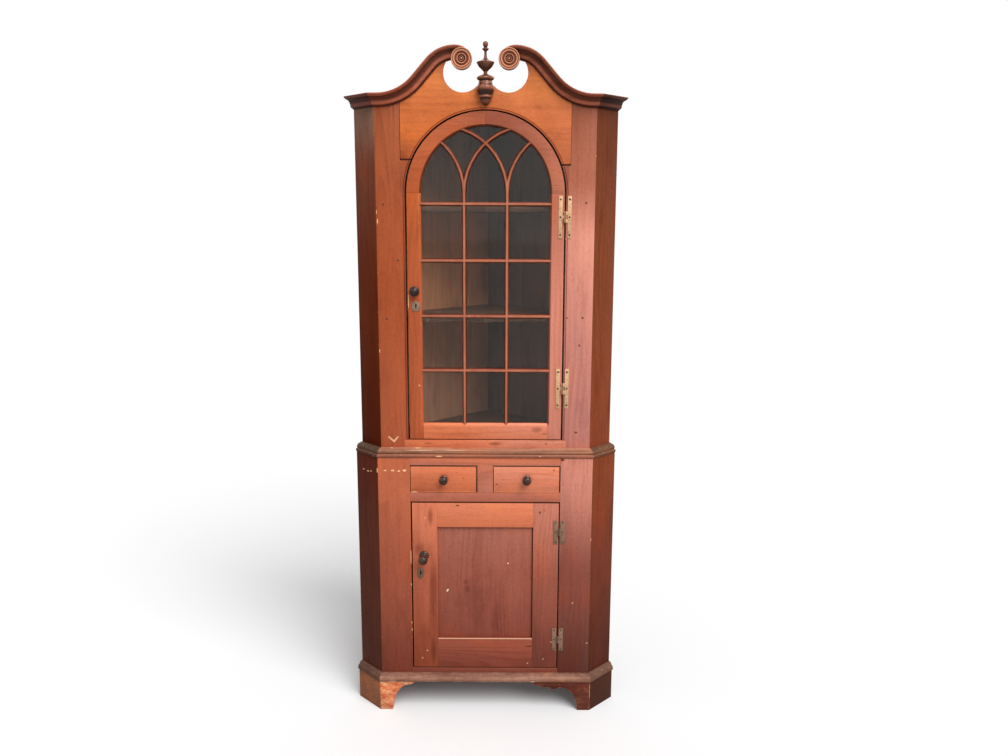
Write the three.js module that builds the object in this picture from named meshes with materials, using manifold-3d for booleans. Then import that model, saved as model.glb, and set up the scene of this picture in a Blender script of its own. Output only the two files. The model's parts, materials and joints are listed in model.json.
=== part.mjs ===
// A corner cupboard in two cases, for the square corner of a room. Millimetres, +Z up, the front faces -Y.
// It is drawn with the front of the lower case on y = 0 and x = 0 in the middle, then centred at the end.
import * as THREE from 'three';
import { mergeVertices } from 'three/addons/utils/BufferGeometryUtils.js';
import Module from 'manifold-3d';

const wasm = await Module();
wasm.setup();

// Boards and gaps
const fit = 0.3; // gap between pieces that meet
const overrun = 12; // how far a cutting shape runs past what it cuts
const boardThickness = 22; // stiles, returns, rails and door frames
const backThickness = 16;
const shelfThickness = 18;
const doorGap = 3.8; // seen round a door
const lowerLatchGap = 5.2; // seen on the latch side of the lower door
const drawerGap = 2.5; // seen at the sides and top of a drawer front
const seamGap = 1.6; // open joint under the tympanum

// Lower case
const lowerOverlap = 9.5; // the lower case is wider than the upper one by this, each side
const lowerReturnWidth = 117.38; // along the return, which stands at 45 degrees
const lowerStileWidth = 106.5;
const footHeight = 107.5;
const baseMouldingHeight = 27;
const baseMouldingProjection = 18.5;
const sillHeight = 15.5; // seen under the lower door, over the base moulding
const lowerOpeningHeight = 600;
const drawerRailHeight = 33;
const drawerOpeningHeight = 94;
const dividerHalf = 26;
const topRailHeight = 26;
const dustBoardThickness = 12;

// Bracket feet, drawn from the front corner inwards and up from the floor
const footProjection = 14;
const footThickness = 20;
const rightFootReach = 207; // from the corner to the end of the bracket
const leftFootReach = 130; // this bracket is broken short
const footBottomWidth = 42;
const rightFootBand = 22.5; // wood left over the bracket's round hollow
const leftFootBand = 13;
const kneeReach = 104; // from the corner to where the hollow ends
const cuspDrop = 8;
const cuspReach = 130;

// Waist
const waistBoardThickness = 11.5;
const waistBoardOverhang = 4;
const waistMouldingHeight = 17.5;
const waistMouldingProjection = 23;

// Upper case
const upperReturnWidth = 106.066;
const upperSillHeight = 25; // the rail seen over the waist moulding
const upperOpeningHalf = 254; // also the radius of the arch
const upperStraightHeight = 803.5; // from the sill to the springing of the arch
const jambWidth = 14.5; // from the opening to the vertical joints of tympanum and stiles
const upperStileWidth = 78.5;
const leftSeamRise = 101; // lower joint of the tympanum over the springing
const rightSeamRise = 86.5;
const tympanumThickness = 20;
const corniceOverArch = 6.5;
const stileIntoCornice = 29;
const topBoardDrop = 4; // top board under the stile tops
const shelfUnderBar = 6; // each shelf's top under the middle of the bar in front of it
const shelfSetback = 26; // shelf behind the front boards, in its middle
const shelfScallopDepth = 34;
const shelfScallopHalf = 96;

// Swan-neck cornice, measured along the lower edge of its moulding
const corniceHeight = 38.3;
const corniceProjection = 37;
const neckStartInset = 11.6; // from the front corner to where the moulding begins to rise
const neckHollowRadius = 183.2;
const neckAngle = THREE.MathUtils.degToRad(48.8);
const neckCrownAcross = 92.5; // from the middle to the centre of the crown's curve
const neckCrownRadius = 81.3;
const neckEndRadius = 20.9;
const neckEndAngle = THREE.MathUtils.degToRad(34);
const tympanumIntoNeck = 28; // how far the board rises behind the moulding
const tympanumNeckInset = 2;
const rosetteRadius = 32;
const rosetteThickness = 26;
const rosetteInset = 20; // its centre from the crown's, towards the middle
const rosetteLift = 79; // over the crown's centre
const rosetteBossRadius = 24;
const rosetteProjection = 42;
const cutoutRadius = 60.7;
const cutoutInset = 21.3;
const cutoutLift = 45.5;
const tongueLift = 4.8; // flat tongue of the board behind the finial, over the crown's centre
const finialDrop = 60.5; // its foot under the top of the tongue
const finialHeight = 189.5;
const finialRadius = 27.9;
const finialForward = 8; // axis in front of the board

// Glazed door
const doorStileWidth = 45;
const doorBottomRailHeight = 53;
const sightBevel = 6;
const glassThickness = 3;
const glassSetback = 14.3;
const glassRabbet = 7;
const glassPlay = 0.7;
const barWidth = 14.5;
const barNose = 5;
const barSetback = 1;
const barShoulder = 8; // depth of the bevel on a bar
const firstBarRise = 177.5; // over the sight opening's bottom
const topBarDrop = 33.5; // under the springing
const barCount = 4;

// Panelled door
const panelStileWidth = 85;
const panelTopRail = 84;
const panelBottomRail = 108;
const panelSetback = 9;
const panelThickness = 9;
const panelTongue = 8;

// Drawers
const drawerFrontThickness = 20;
const drawerRoom = 15.9; // behind the drawer's outer corner, before the back wall
const drawerSide = 10;
const drawerBottom = 8;
const drawerBoxDrop = 8; // box lower than the front
const guideHeight = 12;
const guideWidth = 12;

// Knobs and key plates
const doorKnobRadius = 16.5;
const doorKnobLength = 30;
const doorKnobInset = 22.5; // from the door's edge
const doorKnobShare = 0.6148; // its height over the sill, of the height to the springing
const drawerKnobRadius = 14.5;
const drawerKnobLength = 32;
const panelKnobDiscRadius = 16.5;
const panelKnobLength = 56;
const panelKnobInset = 40;
const panelKnobShare = 0.685; // its height over the sill, of the opening's height
const plateThickness = 1.5;
const upperPlateHalfWidth = 16;
const upperPlateHalfHeight = 18;
const upperPlateInset = 25.5;
const upperPlateDrop = 49; // under the knob
const lowerPlateHalfWidth = 11.7;
const lowerPlateHalfHeight = 20;
const lowerPlateInset = 27.5;
const lowerPlateDrop = 62;
const keyholeRadius = 3.4;
const keyholeSlot = 2.2;
const keyholeLength = 10;

// H hinges
const leafThickness = 2;
const knuckleRadius = 4;
const pinRadius = 1.5;
const pinPlay = 0.5;
const hingeForward = 4.5; // pin in front of the door's face
const brassLeafWidth = 12;
const brassLeafInset = 8.5;
const brassLeafHeight = 132;
const brassKnuckle = 36;
const brassLowRise = 176; // hinge middle over the sill
const brassHighDrop = 73.5; // hinge middle under the springing
const ironLeafWidth = 14;
const ironLeafInset = 4.8;
const ironLeafHeight = 81;
const ironKnuckle = 24;
const ironLowRise = 109; // hinge middle over the sill
const ironHighDrop = 103.5; // hinge middle under the opening's top

// Numbers of facets
const archSegments = 36;
const hollowSegments = 9;
const crownSegments = 9;
const endSegments = 4;
const barSegments = 10;
const turnedSides = 28;
const knobSides = 20;
const barrelSides = 14;

// Moulding outlines, as shares of projection and height, from the bottom up
const baseMouldingShares = [
  [0, 0], [1, 0], [1, 0.24], [0.94, 0.42], [0.8, 0.55], [0.62, 0.62], [0.62, 0.7], [0.5, 0.84], [0.3, 0.94],
  [0.12, 1], [0, 1],
];
const waistMouldingShares = [
  [0, 0], [1, 0], [1, 0.2], [0.95, 0.48], [0.8, 0.72], [0.55, 0.88], [0.3, 0.93], [0.2, 1], [0, 1],
];
const corniceShares = [
  [0, 0], [0.08, 0], [0.1, 0.07], [0.2, 0.1], [0.3, 0.16], [0.34, 0.25], [0.33, 0.34], [0.37, 0.4],
  [0.42, 0.54], [0.54, 0.67], [0.72, 0.74], [0.8, 0.75], [0.82, 0.79], [0.95, 0.84], [1, 0.91], [0.97, 0.98],
  [0.86, 1], [0, 1],
];

// The right-hand bracket beyond its cusp, as shares of the way along to its end and up to its top
const bracketWaveShares = [[0.13, 0.27], [0.42, 0.31], [0.57, 0.36], [0.74, 0.52], [0.88, 0.72], [1, 1]];

// Turned outlines, as shares of the largest radius and of the height or length
const finialShares = [
  [0, 0], [0.2, 0.007], [0.42, 0.028], [0.61, 0.053], [0.74, 0.079], [0.79, 0.105], [0.74, 0.132],
  [0.77, 0.145], [0.74, 0.156], [0.87, 0.2], [0.97, 0.234], [1, 0.268], [0.96, 0.3], [0.8, 0.336],
  [0.74, 0.38], [0.73, 0.392], [0.86, 0.403], [0.97, 0.427], [0.95, 0.441], [0.82, 0.458], [0.55, 0.475],
  [0.29, 0.492], [0.21, 0.51], [0.21, 0.527], [0.28, 0.54], [0.48, 0.57], [0.73, 0.604], [0.88, 0.638],
  [0.97, 0.664], [0.99, 0.675], [0.84, 0.685], [0.42, 0.702], [0.22, 0.719], [0.17, 0.75], [0.14, 0.802],
  [0.15, 0.845], [0.37, 0.874], [0.37, 0.885], [0.22, 0.897], [0.21, 0.914], [0.29, 0.948], [0.29, 0.966],
  [0.2, 0.983], [0, 1],
];
const rosetteShares = [
  [0, 0.93], [0.07, 0.92], [0.13, 0.87], [0.17, 0.77], [0.2, 0.68], [0.24, 0.68], [0.28, 0.8], [0.33, 0.86],
  [0.37, 0.76], [0.42, 0.69], [0.48, 0.73], [0.53, 0.87], [0.58, 0.92], [0.63, 0.84], [0.68, 0.76],
  [0.75, 0.8], [0.82, 0.92], [0.88, 1], [0.93, 1], [0.98, 0.94], [1, 0.84], [1, 0],
];
const doorKnobShares = [
  [0, 0], [0.52, 0], [0.54, 0.1], [0.4, 0.2], [0.38, 0.36], [0.62, 0.42], [0.96, 0.46], [1, 0.52],
  [0.94, 0.6], [0.66, 0.64], [0.62, 0.7], [0.66, 0.8], [0.56, 0.92], [0.32, 0.98], [0, 1],
];
const drawerKnobShares = [
  [0, 0], [0.88, 0], [0.88, 0.07], [0.72, 0.13], [0.46, 0.2], [0.42, 0.34], [0.62, 0.42], [0.9, 0.52],
  [1, 0.66], [0.92, 0.82], [0.62, 0.95], [0, 1],
];
const panelKnobShares = [
  [0, 0], [1, 0], [1, 0.05], [0.86, 0.1], [0.5, 0.14], [0.36, 0.2], [0.32, 0.36], [0.38, 0.46], [0.64, 0.52],
  [0.88, 0.62], [0.95, 0.73], [0.88, 0.86], [0.6, 0.96], [0, 1],
];

// Widths, from the middle
const seamHalf = upperOpeningHalf + jambWidth;
const upperHalfFront = seamHalf + upperStileWidth;
const lowerHalfFront = upperHalfFront + lowerOverlap;
const lowerOpeningHalf = lowerHalfFront - lowerStileWidth;

// Heights of the stack, from the floor
const caseBottom = footHeight + fit;
const mouldingTop = footHeight + baseMouldingHeight;
const lowerSill = mouldingTop + sillHeight;
const drawerRailBottom = lowerSill + lowerOpeningHeight;
const drawerSill = drawerRailBottom + drawerRailHeight;
const topRailBottom = drawerSill + drawerOpeningHeight;
const lowerCaseTop = topRailBottom + topRailHeight;
const waistTop = lowerCaseTop + waistBoardThickness;
const upperSill = waistTop + waistMouldingHeight + upperSillHeight;
const springing = upperSill + upperStraightHeight;
const corniceBase = springing + upperOpeningHalf + corniceOverArch;
const upperCaseTop = corniceBase + stileIntoCornice;

// The walls of the room are the planes x + y = wallSum and -x + y = wallSum
const diagonal = Math.SQRT2;
const wallSum = lowerHalfFront + lowerReturnWidth * diagonal;
const upperFront = wallSum - upperHalfFront - upperReturnWidth * diagonal;
const drawerDepth = wallSum - backThickness * diagonal - lowerOpeningHalf - drawerFrontThickness - drawerRoom;

// The neck's two curves and the straight between them, seen from the front
const neckStart = upperHalfFront - neckStartInset;
const neckStraight = (
  neckStart - neckCrownAcross - (neckHollowRadius + neckCrownRadius) * Math.sin(neckAngle)
) / Math.cos(neckAngle);
const crownCentre = corniceBase + neckHollowRadius + neckStraight * Math.sin(neckAngle)
  - (neckHollowRadius + neckCrownRadius) * Math.cos(neckAngle);
const rosetteAcross = neckCrownAcross - rosetteInset;
const rosetteHeight = crownCentre + rosetteLift;
const cutoutAcross = neckCrownAcross - cutoutInset;
const tongueTop = crownCentre + tongueLift;
const mitre = Math.tan(Math.PI / 8);
const sides = { left: -1, right: 1 };

// The glazed door and its bars
const doorHalf = upperOpeningHalf - doorGap;
const doorBottom = upperSill + doorGap;
const sightHalf = doorHalf - doorStileWidth;
const sightBottom = doorBottom + doorBottomRailHeight;
const barAcross = sightHalf / 3; // upright bars from the middle
const barPitch = (springing - topBarDrop - sightBottom - firstBarRise) / (barCount - 1);

const pine = new THREE.MeshStandardMaterial({ color: 0xa85a3a, roughness: 0.5, metalness: 0 });
const orangePine = new THREE.MeshStandardMaterial({ color: 0xd9804a, roughness: 0.48, metalness: 0 });
const redPine = new THREE.MeshStandardMaterial({ color: 0x8a4434, roughness: 0.5, metalness: 0 });
const darkMoulding = new THREE.MeshStandardMaterial({ color: 0x7d3c2a, roughness: 0.45, metalness: 0 });
const wornMoulding = new THREE.MeshStandardMaterial({ color: 0x8f6c58, roughness: 0.7, metalness: 0 });
const bareBoard = new THREE.MeshStandardMaterial({ color: 0x7a5338, roughness: 0.85, metalness: 0 });
const darkTurning = new THREE.MeshStandardMaterial({ color: 0x4a2a22, roughness: 0.4, metalness: 0 });
const brass = new THREE.MeshStandardMaterial({ color: 0xc79a5c, roughness: 0.4, metalness: 1 });
const iron = new THREE.MeshStandardMaterial({ color: 0x75665a, roughness: 0.7, metalness: 0.8 });
const pane = new THREE.MeshStandardMaterial({ color: 0xc8d2d0, roughness: 0.05, metalness: 0 });

// The height of a level glazing bar's middle, counted from the lowest.
function barHeight(bar) {
  return sightBottom + firstBarRise + bar * barPitch;
}

// Merges a geometry's vertices, drops collapsed triangles and turns its faces outwards.
function closed(geometry) {
  const bare = geometry.index ? geometry.toNonIndexed() : geometry.clone();
  bare.deleteAttribute('normal');
  bare.deleteAttribute('uv');
  const merged = mergeVertices(bare);
  const points = merged.attributes.position;
  const corners = merged.index.array;
  const faces = [];
  let volume = 0;
  const a = new THREE.Vector3();
  const b = new THREE.Vector3();
  const c = new THREE.Vector3();
  for (let at = 0; at < corners.length; at += 3) {
    const [first, second, third] = corners.slice(at, at + 3);
    if (first !== second && second !== third && third !== first) {
      faces.push(first, second, third);
      a.fromBufferAttribute(points, first);
      b.fromBufferAttribute(points, second);
      c.fromBufferAttribute(points, third);
      volume += a.dot(b.cross(c));
    }
  }
  if (volume < 0) {
    faces.reverse();
  }
  const result = new THREE.BufferGeometry();
  result.setAttribute('position', points.clone());
  result.setIndex(faces);
  return result;
}

function toSolid(geometry) {
  const shell = closed(geometry);
  return new wasm.Manifold(new wasm.Mesh({
    numProp: 3,
    vertProperties: new Float32Array(shell.attributes.position.array),
    triVerts: new Uint32Array(shell.index.array),
  }));
}

function toGeometry(solid) {
  const mesh = solid.getMesh();
  const geometry = new THREE.BufferGeometry();
  geometry.setAttribute('position', new THREE.BufferAttribute(new Float32Array(mesh.vertProperties), 3));
  geometry.setIndex(new THREE.BufferAttribute(new Uint32Array(mesh.triVerts), 1));
  return geometry;
}

function join(...geometries) {
  return toGeometry(geometries.map(toSolid).reduce((whole, piece) => whole.add(piece)));
}

function cut(geometry, ...cutters) {
  return toGeometry(cutters.map(toSolid).reduce((whole, piece) => whole.subtract(piece), toSolid(geometry)));
}

function keepWithin(geometry, limit) {
  return toGeometry(toSolid(geometry).intersect(toSolid(limit)));
}

// A block between two corners.
function block(x0, x1, y0, y1, z0, z1) {
  const box = new THREE.BoxGeometry(Math.abs(x1 - x0), Math.abs(y1 - y0), Math.abs(z1 - z0));
  return box.translate((x0 + x1) / 2, (y0 + y1) / 2, (z0 + z1) / 2);
}

function outline(points) {
  return new THREE.Shape(points.map(([x, y]) => new THREE.Vector2(x, y)));
}

// A plan outline raised from one height to another.
function raise(points, bottom, top) {
  const solid = new THREE.ExtrudeGeometry(outline(points), { depth: top - bottom, bevelEnabled: false });
  return solid.translate(0, 0, bottom);
}

// An outline seen from the front (x across, y up), given depth from one plane to another.
function deepen(shape, front, back, curveSegments = archSegments) {
  const solid = new THREE.ExtrudeGeometry(shape, { depth: back - front, bevelEnabled: false, curveSegments });
  return solid.rotateX(Math.PI / 2).translate(0, back, 0);
}

function mirrorPoints(points, side) {
  return points.map(([x, y]) => [side * x, y]);
}

// Rings of points with the same section, joined into one skin. A run has capped ends, a loop has none.
function loft(rings, section, loop = false) {
  const count = section.length;
  const faces = [];
  const gaps = loop ? rings.length : rings.length - 1;
  for (let ring = 0; ring < gaps; ring += 1) {
    const here = ring * count;
    const next = ((ring + 1) % rings.length) * count;
    for (let corner = 0; corner < count; corner += 1) {
      const after = (corner + 1) % count;
      faces.push(here + corner, here + after, next + corner);
      faces.push(here + after, next + after, next + corner);
    }
  }
  if (!loop) {
    const flat = section.map(([x, y]) => new THREE.Vector2(x, y));
    const sense = Math.sign(THREE.ShapeUtils.area(flat));
    const last = (rings.length - 1) * count;
    for (const [a, b, c] of THREE.ShapeUtils.triangulateShape(flat, [])) {
      const turn = Math.sign(THREE.ShapeUtils.area([flat[a], flat[b], flat[c]]));
      const [p, q] = turn === sense ? [b, c] : [c, b];
      faces.push(a, q, p);
      faces.push(last + a, last + p, last + q);
    }
  }
  const geometry = new THREE.BufferGeometry();
  const positions = rings.flat().flatMap((point) => point.toArray());
  geometry.setAttribute('position', new THREE.Float32BufferAttribute(positions, 3));
  geometry.setIndex(faces);
  return geometry;
}

function scaleShares(shares, across, along) {
  return shares.map(([a, b]) => [a * across, b * along]);
}

// A turned piece on the Z axis, from radius and height shares.
function turn(shares, radius, height, count) {
  const profile = scaleShares(shares, radius, height).map(([r, h]) => new THREE.Vector2(r, h));
  return new THREE.LatheGeometry(profile, count).rotateX(Math.PI / 2);
}

// A turned piece that stands out of a front face at y = 0.
function turnForward(shares, radius, length, count) {
  return turn(shares, radius, length, count).rotateX(Math.PI / 2);
}

function piece(name, geometry, material) {
  const mesh = new THREE.Mesh(closed(geometry), material);
  mesh.name = name;
  return mesh;
}

function group(...children) {
  const holder = new THREE.Group();
  holder.add(...children.flat());
  return holder;
}

// A plan point from its sum x + y, which is the same all along a right-hand wall, and its difference x - y,
// which is the same all along a right-hand return.
function planPoint(sum, difference) {
  return [(sum + difference) / 2, (sum - difference) / 2];
}

// The plan of a case: its faces, inner faces and corners, for the right-hand side.
function casePlan(halfFront, front) {
  const inner = halfFront - front - boardThickness * diagonal;
  const backInner = wallSum - backThickness * diagonal;
  return {
    halfFront,
    front,
    face: halfFront - front,
    inner,
    backInner,
    roomy: inner - fit * diagonal,
    deep: backInner - fit * diagonal,
  };
}

const lowerPlan = casePlan(lowerHalfFront, 0);
const upperPlan = casePlan(upperHalfFront, upperFront);

// A front stile, mitred to its return. The plan is drawn for the right and mirrored for the left.
function stilePlan(plan, innerEdge) {
  const back = plan.front + boardThickness;
  return [
    [innerEdge, plan.front],
    [plan.halfFront, plan.front],
    [plan.halfFront - boardThickness * mitre, back],
    [innerEdge, back],
  ];
}

// The canted return, from its mitre with the stile to the wall.
function returnPlan(plan) {
  const step = fit / diagonal;
  return [
    [plan.halfFront + step, plan.front + step],
    planPoint(wallSum, plan.face),
    planPoint(wallSum, plan.inner),
    [plan.halfFront - boardThickness * mitre + step, plan.front + boardThickness + step],
  ];
}

// The right-hand back wall laps the left-hand one in the rear corner.
function backPlan(plan, lapping) {
  const end = lapping ? -wallSum : -plan.deep;
  return [
    planPoint(wallSum, plan.roomy),
    planPoint(plan.backInner, plan.roomy),
    planPoint(plan.backInner, end),
    planPoint(wallSum, end),
  ];
}

// The plan inside a case, from a front edge to the back walls.
function insidePlan(plan, frontEdge) {
  const shoulder = planPoint(plan.deep, plan.roomy);
  const corner = [plan.roomy + frontEdge, frontEdge];
  return [
    [-corner[0], corner[1]],
    corner,
    shoulder,
    [0, plan.deep],
    [-shoulder[0], shoulder[1]],
  ];
}

function returnsAndBacks(prefix, plan, material, bottom, backBottom, top) {
  return Object.entries(sides).flatMap(([name, side]) => [
    piece(`${prefix}_${name}_return`, raise(mirrorPoints(returnPlan(plan), side), bottom, top), material),
    piece(
      `${prefix}_${name}_back`,
      raise(mirrorPoints(backPlan(plan, side === sides.right), side), backBottom, top),
      bareBoard,
    ),
  ]);
}

// One ring of a moulding on the face of a case: at the wall, or at the corner where its mitre lies.
function mouldingRing(plan, section, base, side, atWall) {
  const [wallX, wallY] = planPoint(wallSum, plan.face);
  return section.map(([out, up]) => {
    const reach = out + fit;
    return atWall
      ? new THREE.Vector3(side * (wallX + reach / diagonal), wallY - reach / diagonal, base + up)
      : new THREE.Vector3(side * (plan.halfFront + reach * mitre), plan.front - reach, base + up);
  });
}

function caseMoulding(plan, shares, projection, height, base) {
  const section = scaleShares(shares, projection, height);
  const rings = [
    mouldingRing(plan, section, base, sides.left, true),
    mouldingRing(plan, section, base, sides.left, false),
    mouldingRing(plan, section, base, sides.right, false),
    mouldingRing(plan, section, base, sides.right, true),
  ];
  return loft(rings, section);
}

// A bracket foot: a front board and a canted board mitred together, the front one sawn to a hollow.
function bracketFoot(side, reach, band, whole) {
  const corner = lowerHalfFront + footProjection * mitre;
  const face = corner + footProjection;
  const back = footThickness - footProjection;
  const innerFace = face - footThickness * diagonal;
  const plan = [
    [corner - reach, -footProjection],
    [corner, -footProjection],
    planPoint(wallSum, face),
    planPoint(wallSum, innerFace),
    [innerFace + back, back],
    [corner - reach, back],
  ];
  const foot = raise(mirrorPoints(plan, side), 0, footHeight);
  const hollow = new THREE.Shape();
  const toe = corner - footBottomWidth;
  const kneeHeight = footHeight - band;
  hollow.moveTo(side * toe, -overrun);
  hollow.lineTo(side * toe, 0);
  hollow.bezierCurveTo(
    side * (toe - kneeHeight / 16), kneeHeight / 2,
    side * (toe - kneeHeight / 5), kneeHeight,
    side * (corner - kneeReach), kneeHeight,
  );
  if (whole) {
    const cuspHeight = kneeHeight - cuspDrop;
    hollow.lineTo(side * (corner - cuspReach), cuspHeight);
    for (const [along, up] of bracketWaveShares) {
      hollow.lineTo(
        side * (corner - cuspReach - along * (reach - cuspReach)),
        cuspHeight + up * (footHeight - cuspHeight),
      );
    }
  } else {
    hollow.lineTo(side * (corner - reach), footHeight);
  }
  hollow.lineTo(side * (corner - reach - overrun), footHeight + overrun);
  hollow.lineTo(side * (corner - reach - overrun), -overrun);
  return cut(foot, deepen(hollow, -footProjection - overrun, back + overrun, hollowSegments));
}

// A level board inside a case, with a front rail between the stiles.
function railedBoard(plan, half, railBottom, boardBottom, top) {
  const back = plan.front + boardThickness;
  const rail = block(-half, half, plan.front, back + overrun, railBottom, top);
  return join(rail, raise(insidePlan(plan, back + fit), boardBottom, top));
}

function lowerCase() {
  const stile = (side) => raise(
    mirrorPoints(stilePlan(lowerPlan, lowerOpeningHalf), side), caseBottom, lowerCaseTop - fit,
  );
  const railHalf = lowerOpeningHalf - fit;
  const floor = railedBoard(lowerPlan, railHalf, caseBottom, lowerSill - boardThickness, lowerSill);
  const guideBack = boardThickness + drawerDepth;
  const guideBottom = drawerSill - dustBoardThickness / 2;
  const dustBoard = join(
    railedBoard(lowerPlan, railHalf, drawerRailBottom, drawerSill - dustBoardThickness, drawerSill),
    block(
      -dividerHalf, dividerHalf, boardThickness + 2 * fit, guideBack, guideBottom, drawerSill + guideHeight,
    ),
    ...Object.values(sides).map((side) => block(
      side * lowerOpeningHalf, side * (lowerOpeningHalf + guideWidth), boardThickness + 2 * fit, guideBack,
      guideBottom, drawerSill + guideHeight,
    )),
  );
  const frame = outline([
    [-dividerHalf, drawerSill + fit], [dividerHalf, drawerSill + fit], [dividerHalf, topRailBottom],
    [railHalf, topRailBottom], [railHalf, lowerCaseTop - fit], [-railHalf, lowerCaseTop - fit],
    [-railHalf, topRailBottom], [-dividerHalf, topRailBottom],
  ]);
  return group(
    piece('lower_left_stile', stile(sides.left), redPine),
    piece('lower_right_stile', stile(sides.right), redPine),
    returnsAndBacks('lower', lowerPlan, redPine, caseBottom, 0, lowerCaseTop - fit),
    piece('lower_floor', floor, redPine),
    piece('drawer_shelf', dustBoard, redPine),
    piece('drawer_frame', deepen(frame, 0, boardThickness), redPine),
    piece(
      'base_moulding',
      caseMoulding(lowerPlan, baseMouldingShares, baseMouldingProjection, baseMouldingHeight, caseBottom),
      wornMoulding,
    ),
    piece('left_bracket_foot', bracketFoot(sides.left, leftFootReach, leftFootBand, false), redPine),
    piece('right_bracket_foot', bracketFoot(sides.right, rightFootReach, rightFootBand, true), redPine),
  );
}

// The board that closes the lower case, and the moulding that hides the joint of the two cases.
function waist() {
  const edge = lowerPlan.face + waistBoardOverhang * diagonal;
  const corner = [lowerHalfFront + waistBoardOverhang * mitre, -waistBoardOverhang];
  const wallEnd = planPoint(wallSum, edge);
  const plan = [
    [-corner[0], corner[1]], corner, wallEnd, [0, wallSum], [-wallEnd[0], wallEnd[1]],
  ];
  return group(
    piece('waist_board', raise(plan, lowerCaseTop, waistTop), wornMoulding),
    piece(
      'waist_moulding',
      caseMoulding(
        upperPlan, waistMouldingShares, waistMouldingProjection, waistMouldingHeight, waistTop + fit,
      ),
      wornMoulding,
    ),
  );
}

// An upper stile with the narrow strip at its inner edge, which follows the arch up to the tympanum.
function upperStile(side, seamRise) {
  const post = raise(
    mirrorPoints(stilePlan(upperPlan, seamHalf), side), waistTop + fit, upperCaseTop,
  );
  const reach = Math.sqrt(upperOpeningHalf ** 2 - seamRise ** 2);
  const strip = new THREE.Shape();
  strip.moveTo(seamHalf + boardThickness / 2, upperSill + fit);
  strip.lineTo(upperOpeningHalf, upperSill + fit);
  strip.lineTo(upperOpeningHalf, springing);
  strip.absarc(0, springing, upperOpeningHalf, 0, Math.asin(seamRise / upperOpeningHalf), false);
  strip.lineTo(reach, springing + seamRise);
  strip.lineTo(seamHalf + boardThickness / 2, springing + seamRise);
  const solid = deepen(strip, upperFront, upperFront + boardThickness, hollowSegments);
  return join(post, solid.scale(side, 1, 1));
}

// The lower edge of the cornice as it leaves the corner, climbs the neck and rolls over the rosette.
// Each step has a place, seen from the front, and the direction that is square to the moulding there.
function neckSteps() {
  const steps = [];
  const hollowCentre = [neckStart, corniceBase + neckHollowRadius];
  for (let step = 0; step <= hollowSegments; step += 1) {
    const angle = neckAngle * step / hollowSegments;
    steps.push({
      x: hollowCentre[0] - neckHollowRadius * Math.sin(angle),
      z: hollowCentre[1] - neckHollowRadius * Math.cos(angle),
      angle,
    });
  }
  for (let step = 0; step <= crownSegments; step += 1) {
    const angle = neckAngle * (1 - step / crownSegments);
    steps.push({
      x: neckCrownAcross + neckCrownRadius * Math.sin(angle),
      z: crownCentre + neckCrownRadius * Math.cos(angle),
      angle,
    });
  }
  const endCentre = [neckCrownAcross, crownCentre + neckCrownRadius - neckEndRadius];
  for (let step = 1; step <= endSegments; step += 1) {
    const angle = -neckEndAngle * step / endSegments;
    steps.push({
      x: endCentre[0] + neckEndRadius * Math.sin(angle),
      z: endCentre[1] + neckEndRadius * Math.cos(angle),
      angle,
    });
  }
  return steps;
}

// A place beside the neck's lower edge, so far up square to it. The left side is drawn.
function besideNeck(step, up) {
  return [-(step.x + up * Math.sin(step.angle)), step.z + up * Math.cos(step.angle)];
}

function rosetteCutter(side) {
  const cutter = new THREE.CylinderGeometry(
    rosetteRadius + fit, rosetteRadius + fit, corniceProjection * 2 + overrun, archSegments,
  );
  return cutter.translate(side * rosetteAcross, upperFront, rosetteHeight);
}

function cornice(side) {
  const section = scaleShares(corniceShares, corniceProjection, corniceHeight);
  const rings = [
    mouldingRing(upperPlan, section, corniceBase, side, true),
    mouldingRing(upperPlan, section, corniceBase, side, false),
  ];
  for (const step of neckSteps()) {
    rings.push(section.map(([out, up]) => {
      const [x, z] = besideNeck(step, up);
      return new THREE.Vector3(-side * x, upperFront - fit - out, z);
    }));
  }
  return cut(loft(rings, section), rosetteCutter(side));
}

// The board over the arch: sawn to the cornice on top, to the arch below, and to two round hollows.
function tympanum() {
  const steps = neckSteps();
  const top = steps.map((step) => besideNeck(step, tympanumIntoNeck));
  const left = [[-upperHalfFront, springing + leftSeamRise], ...top];
  const right = mirrorPoints([[-upperHalfFront, springing + rightSeamRise], ...top], -1).reverse();
  const back = upperFront + tympanumThickness;
  const inner = seamHalf - fit;
  const board = keepWithin(
    deepen(outline([...left, ...right, [0, springing + rightSeamRise], [0, springing + leftSeamRise]]),
      upperFront, back),
    block(-inner, inner, upperFront - overrun, back + overrun, springing, corniceBase + finialHeight),
  );
  const disc = (radius, across, height, extra) => new THREE.CylinderGeometry(
    radius, radius, tympanumThickness + extra, archSegments,
  ).translate(across, upperFront + tympanumThickness / 2, height);
  const cutoutHeight = crownCentre + cutoutLift;
  const open = cut(
    board,
    new THREE.CylinderGeometry(
      upperOpeningHalf, upperOpeningHalf, tympanumThickness + overrun, 2 * archSegments,
    ).translate(0, upperFront + tympanumThickness / 2, springing),
    disc(cutoutRadius, -cutoutAcross, cutoutHeight, overrun),
    disc(cutoutRadius, cutoutAcross, cutoutHeight, overrun),
    block(
      -cutoutAcross, cutoutAcross, upperFront - overrun, back + overrun,
      tongueTop, tongueTop + finialHeight,
    ),
  );
  const crown = steps.slice(hollowSegments + crownSegments / 3);
  const band = [
    ...crown.map((step) => besideNeck(step, tympanumNeckInset)),
    ...crown.map((step) => besideNeck(step, tympanumIntoNeck)).reverse(),
  ];
  const arms = Object.values(sides).map((side) => deepen(
    outline(mirrorPoints(band, -side)), upperFront, back,
  ));
  const lobes = Object.values(sides).map((side) => disc(
    rosetteBossRadius, side * rosetteAcross, rosetteHeight, 0,
  ));
  return join(open, ...arms, ...lobes);
}

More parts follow.
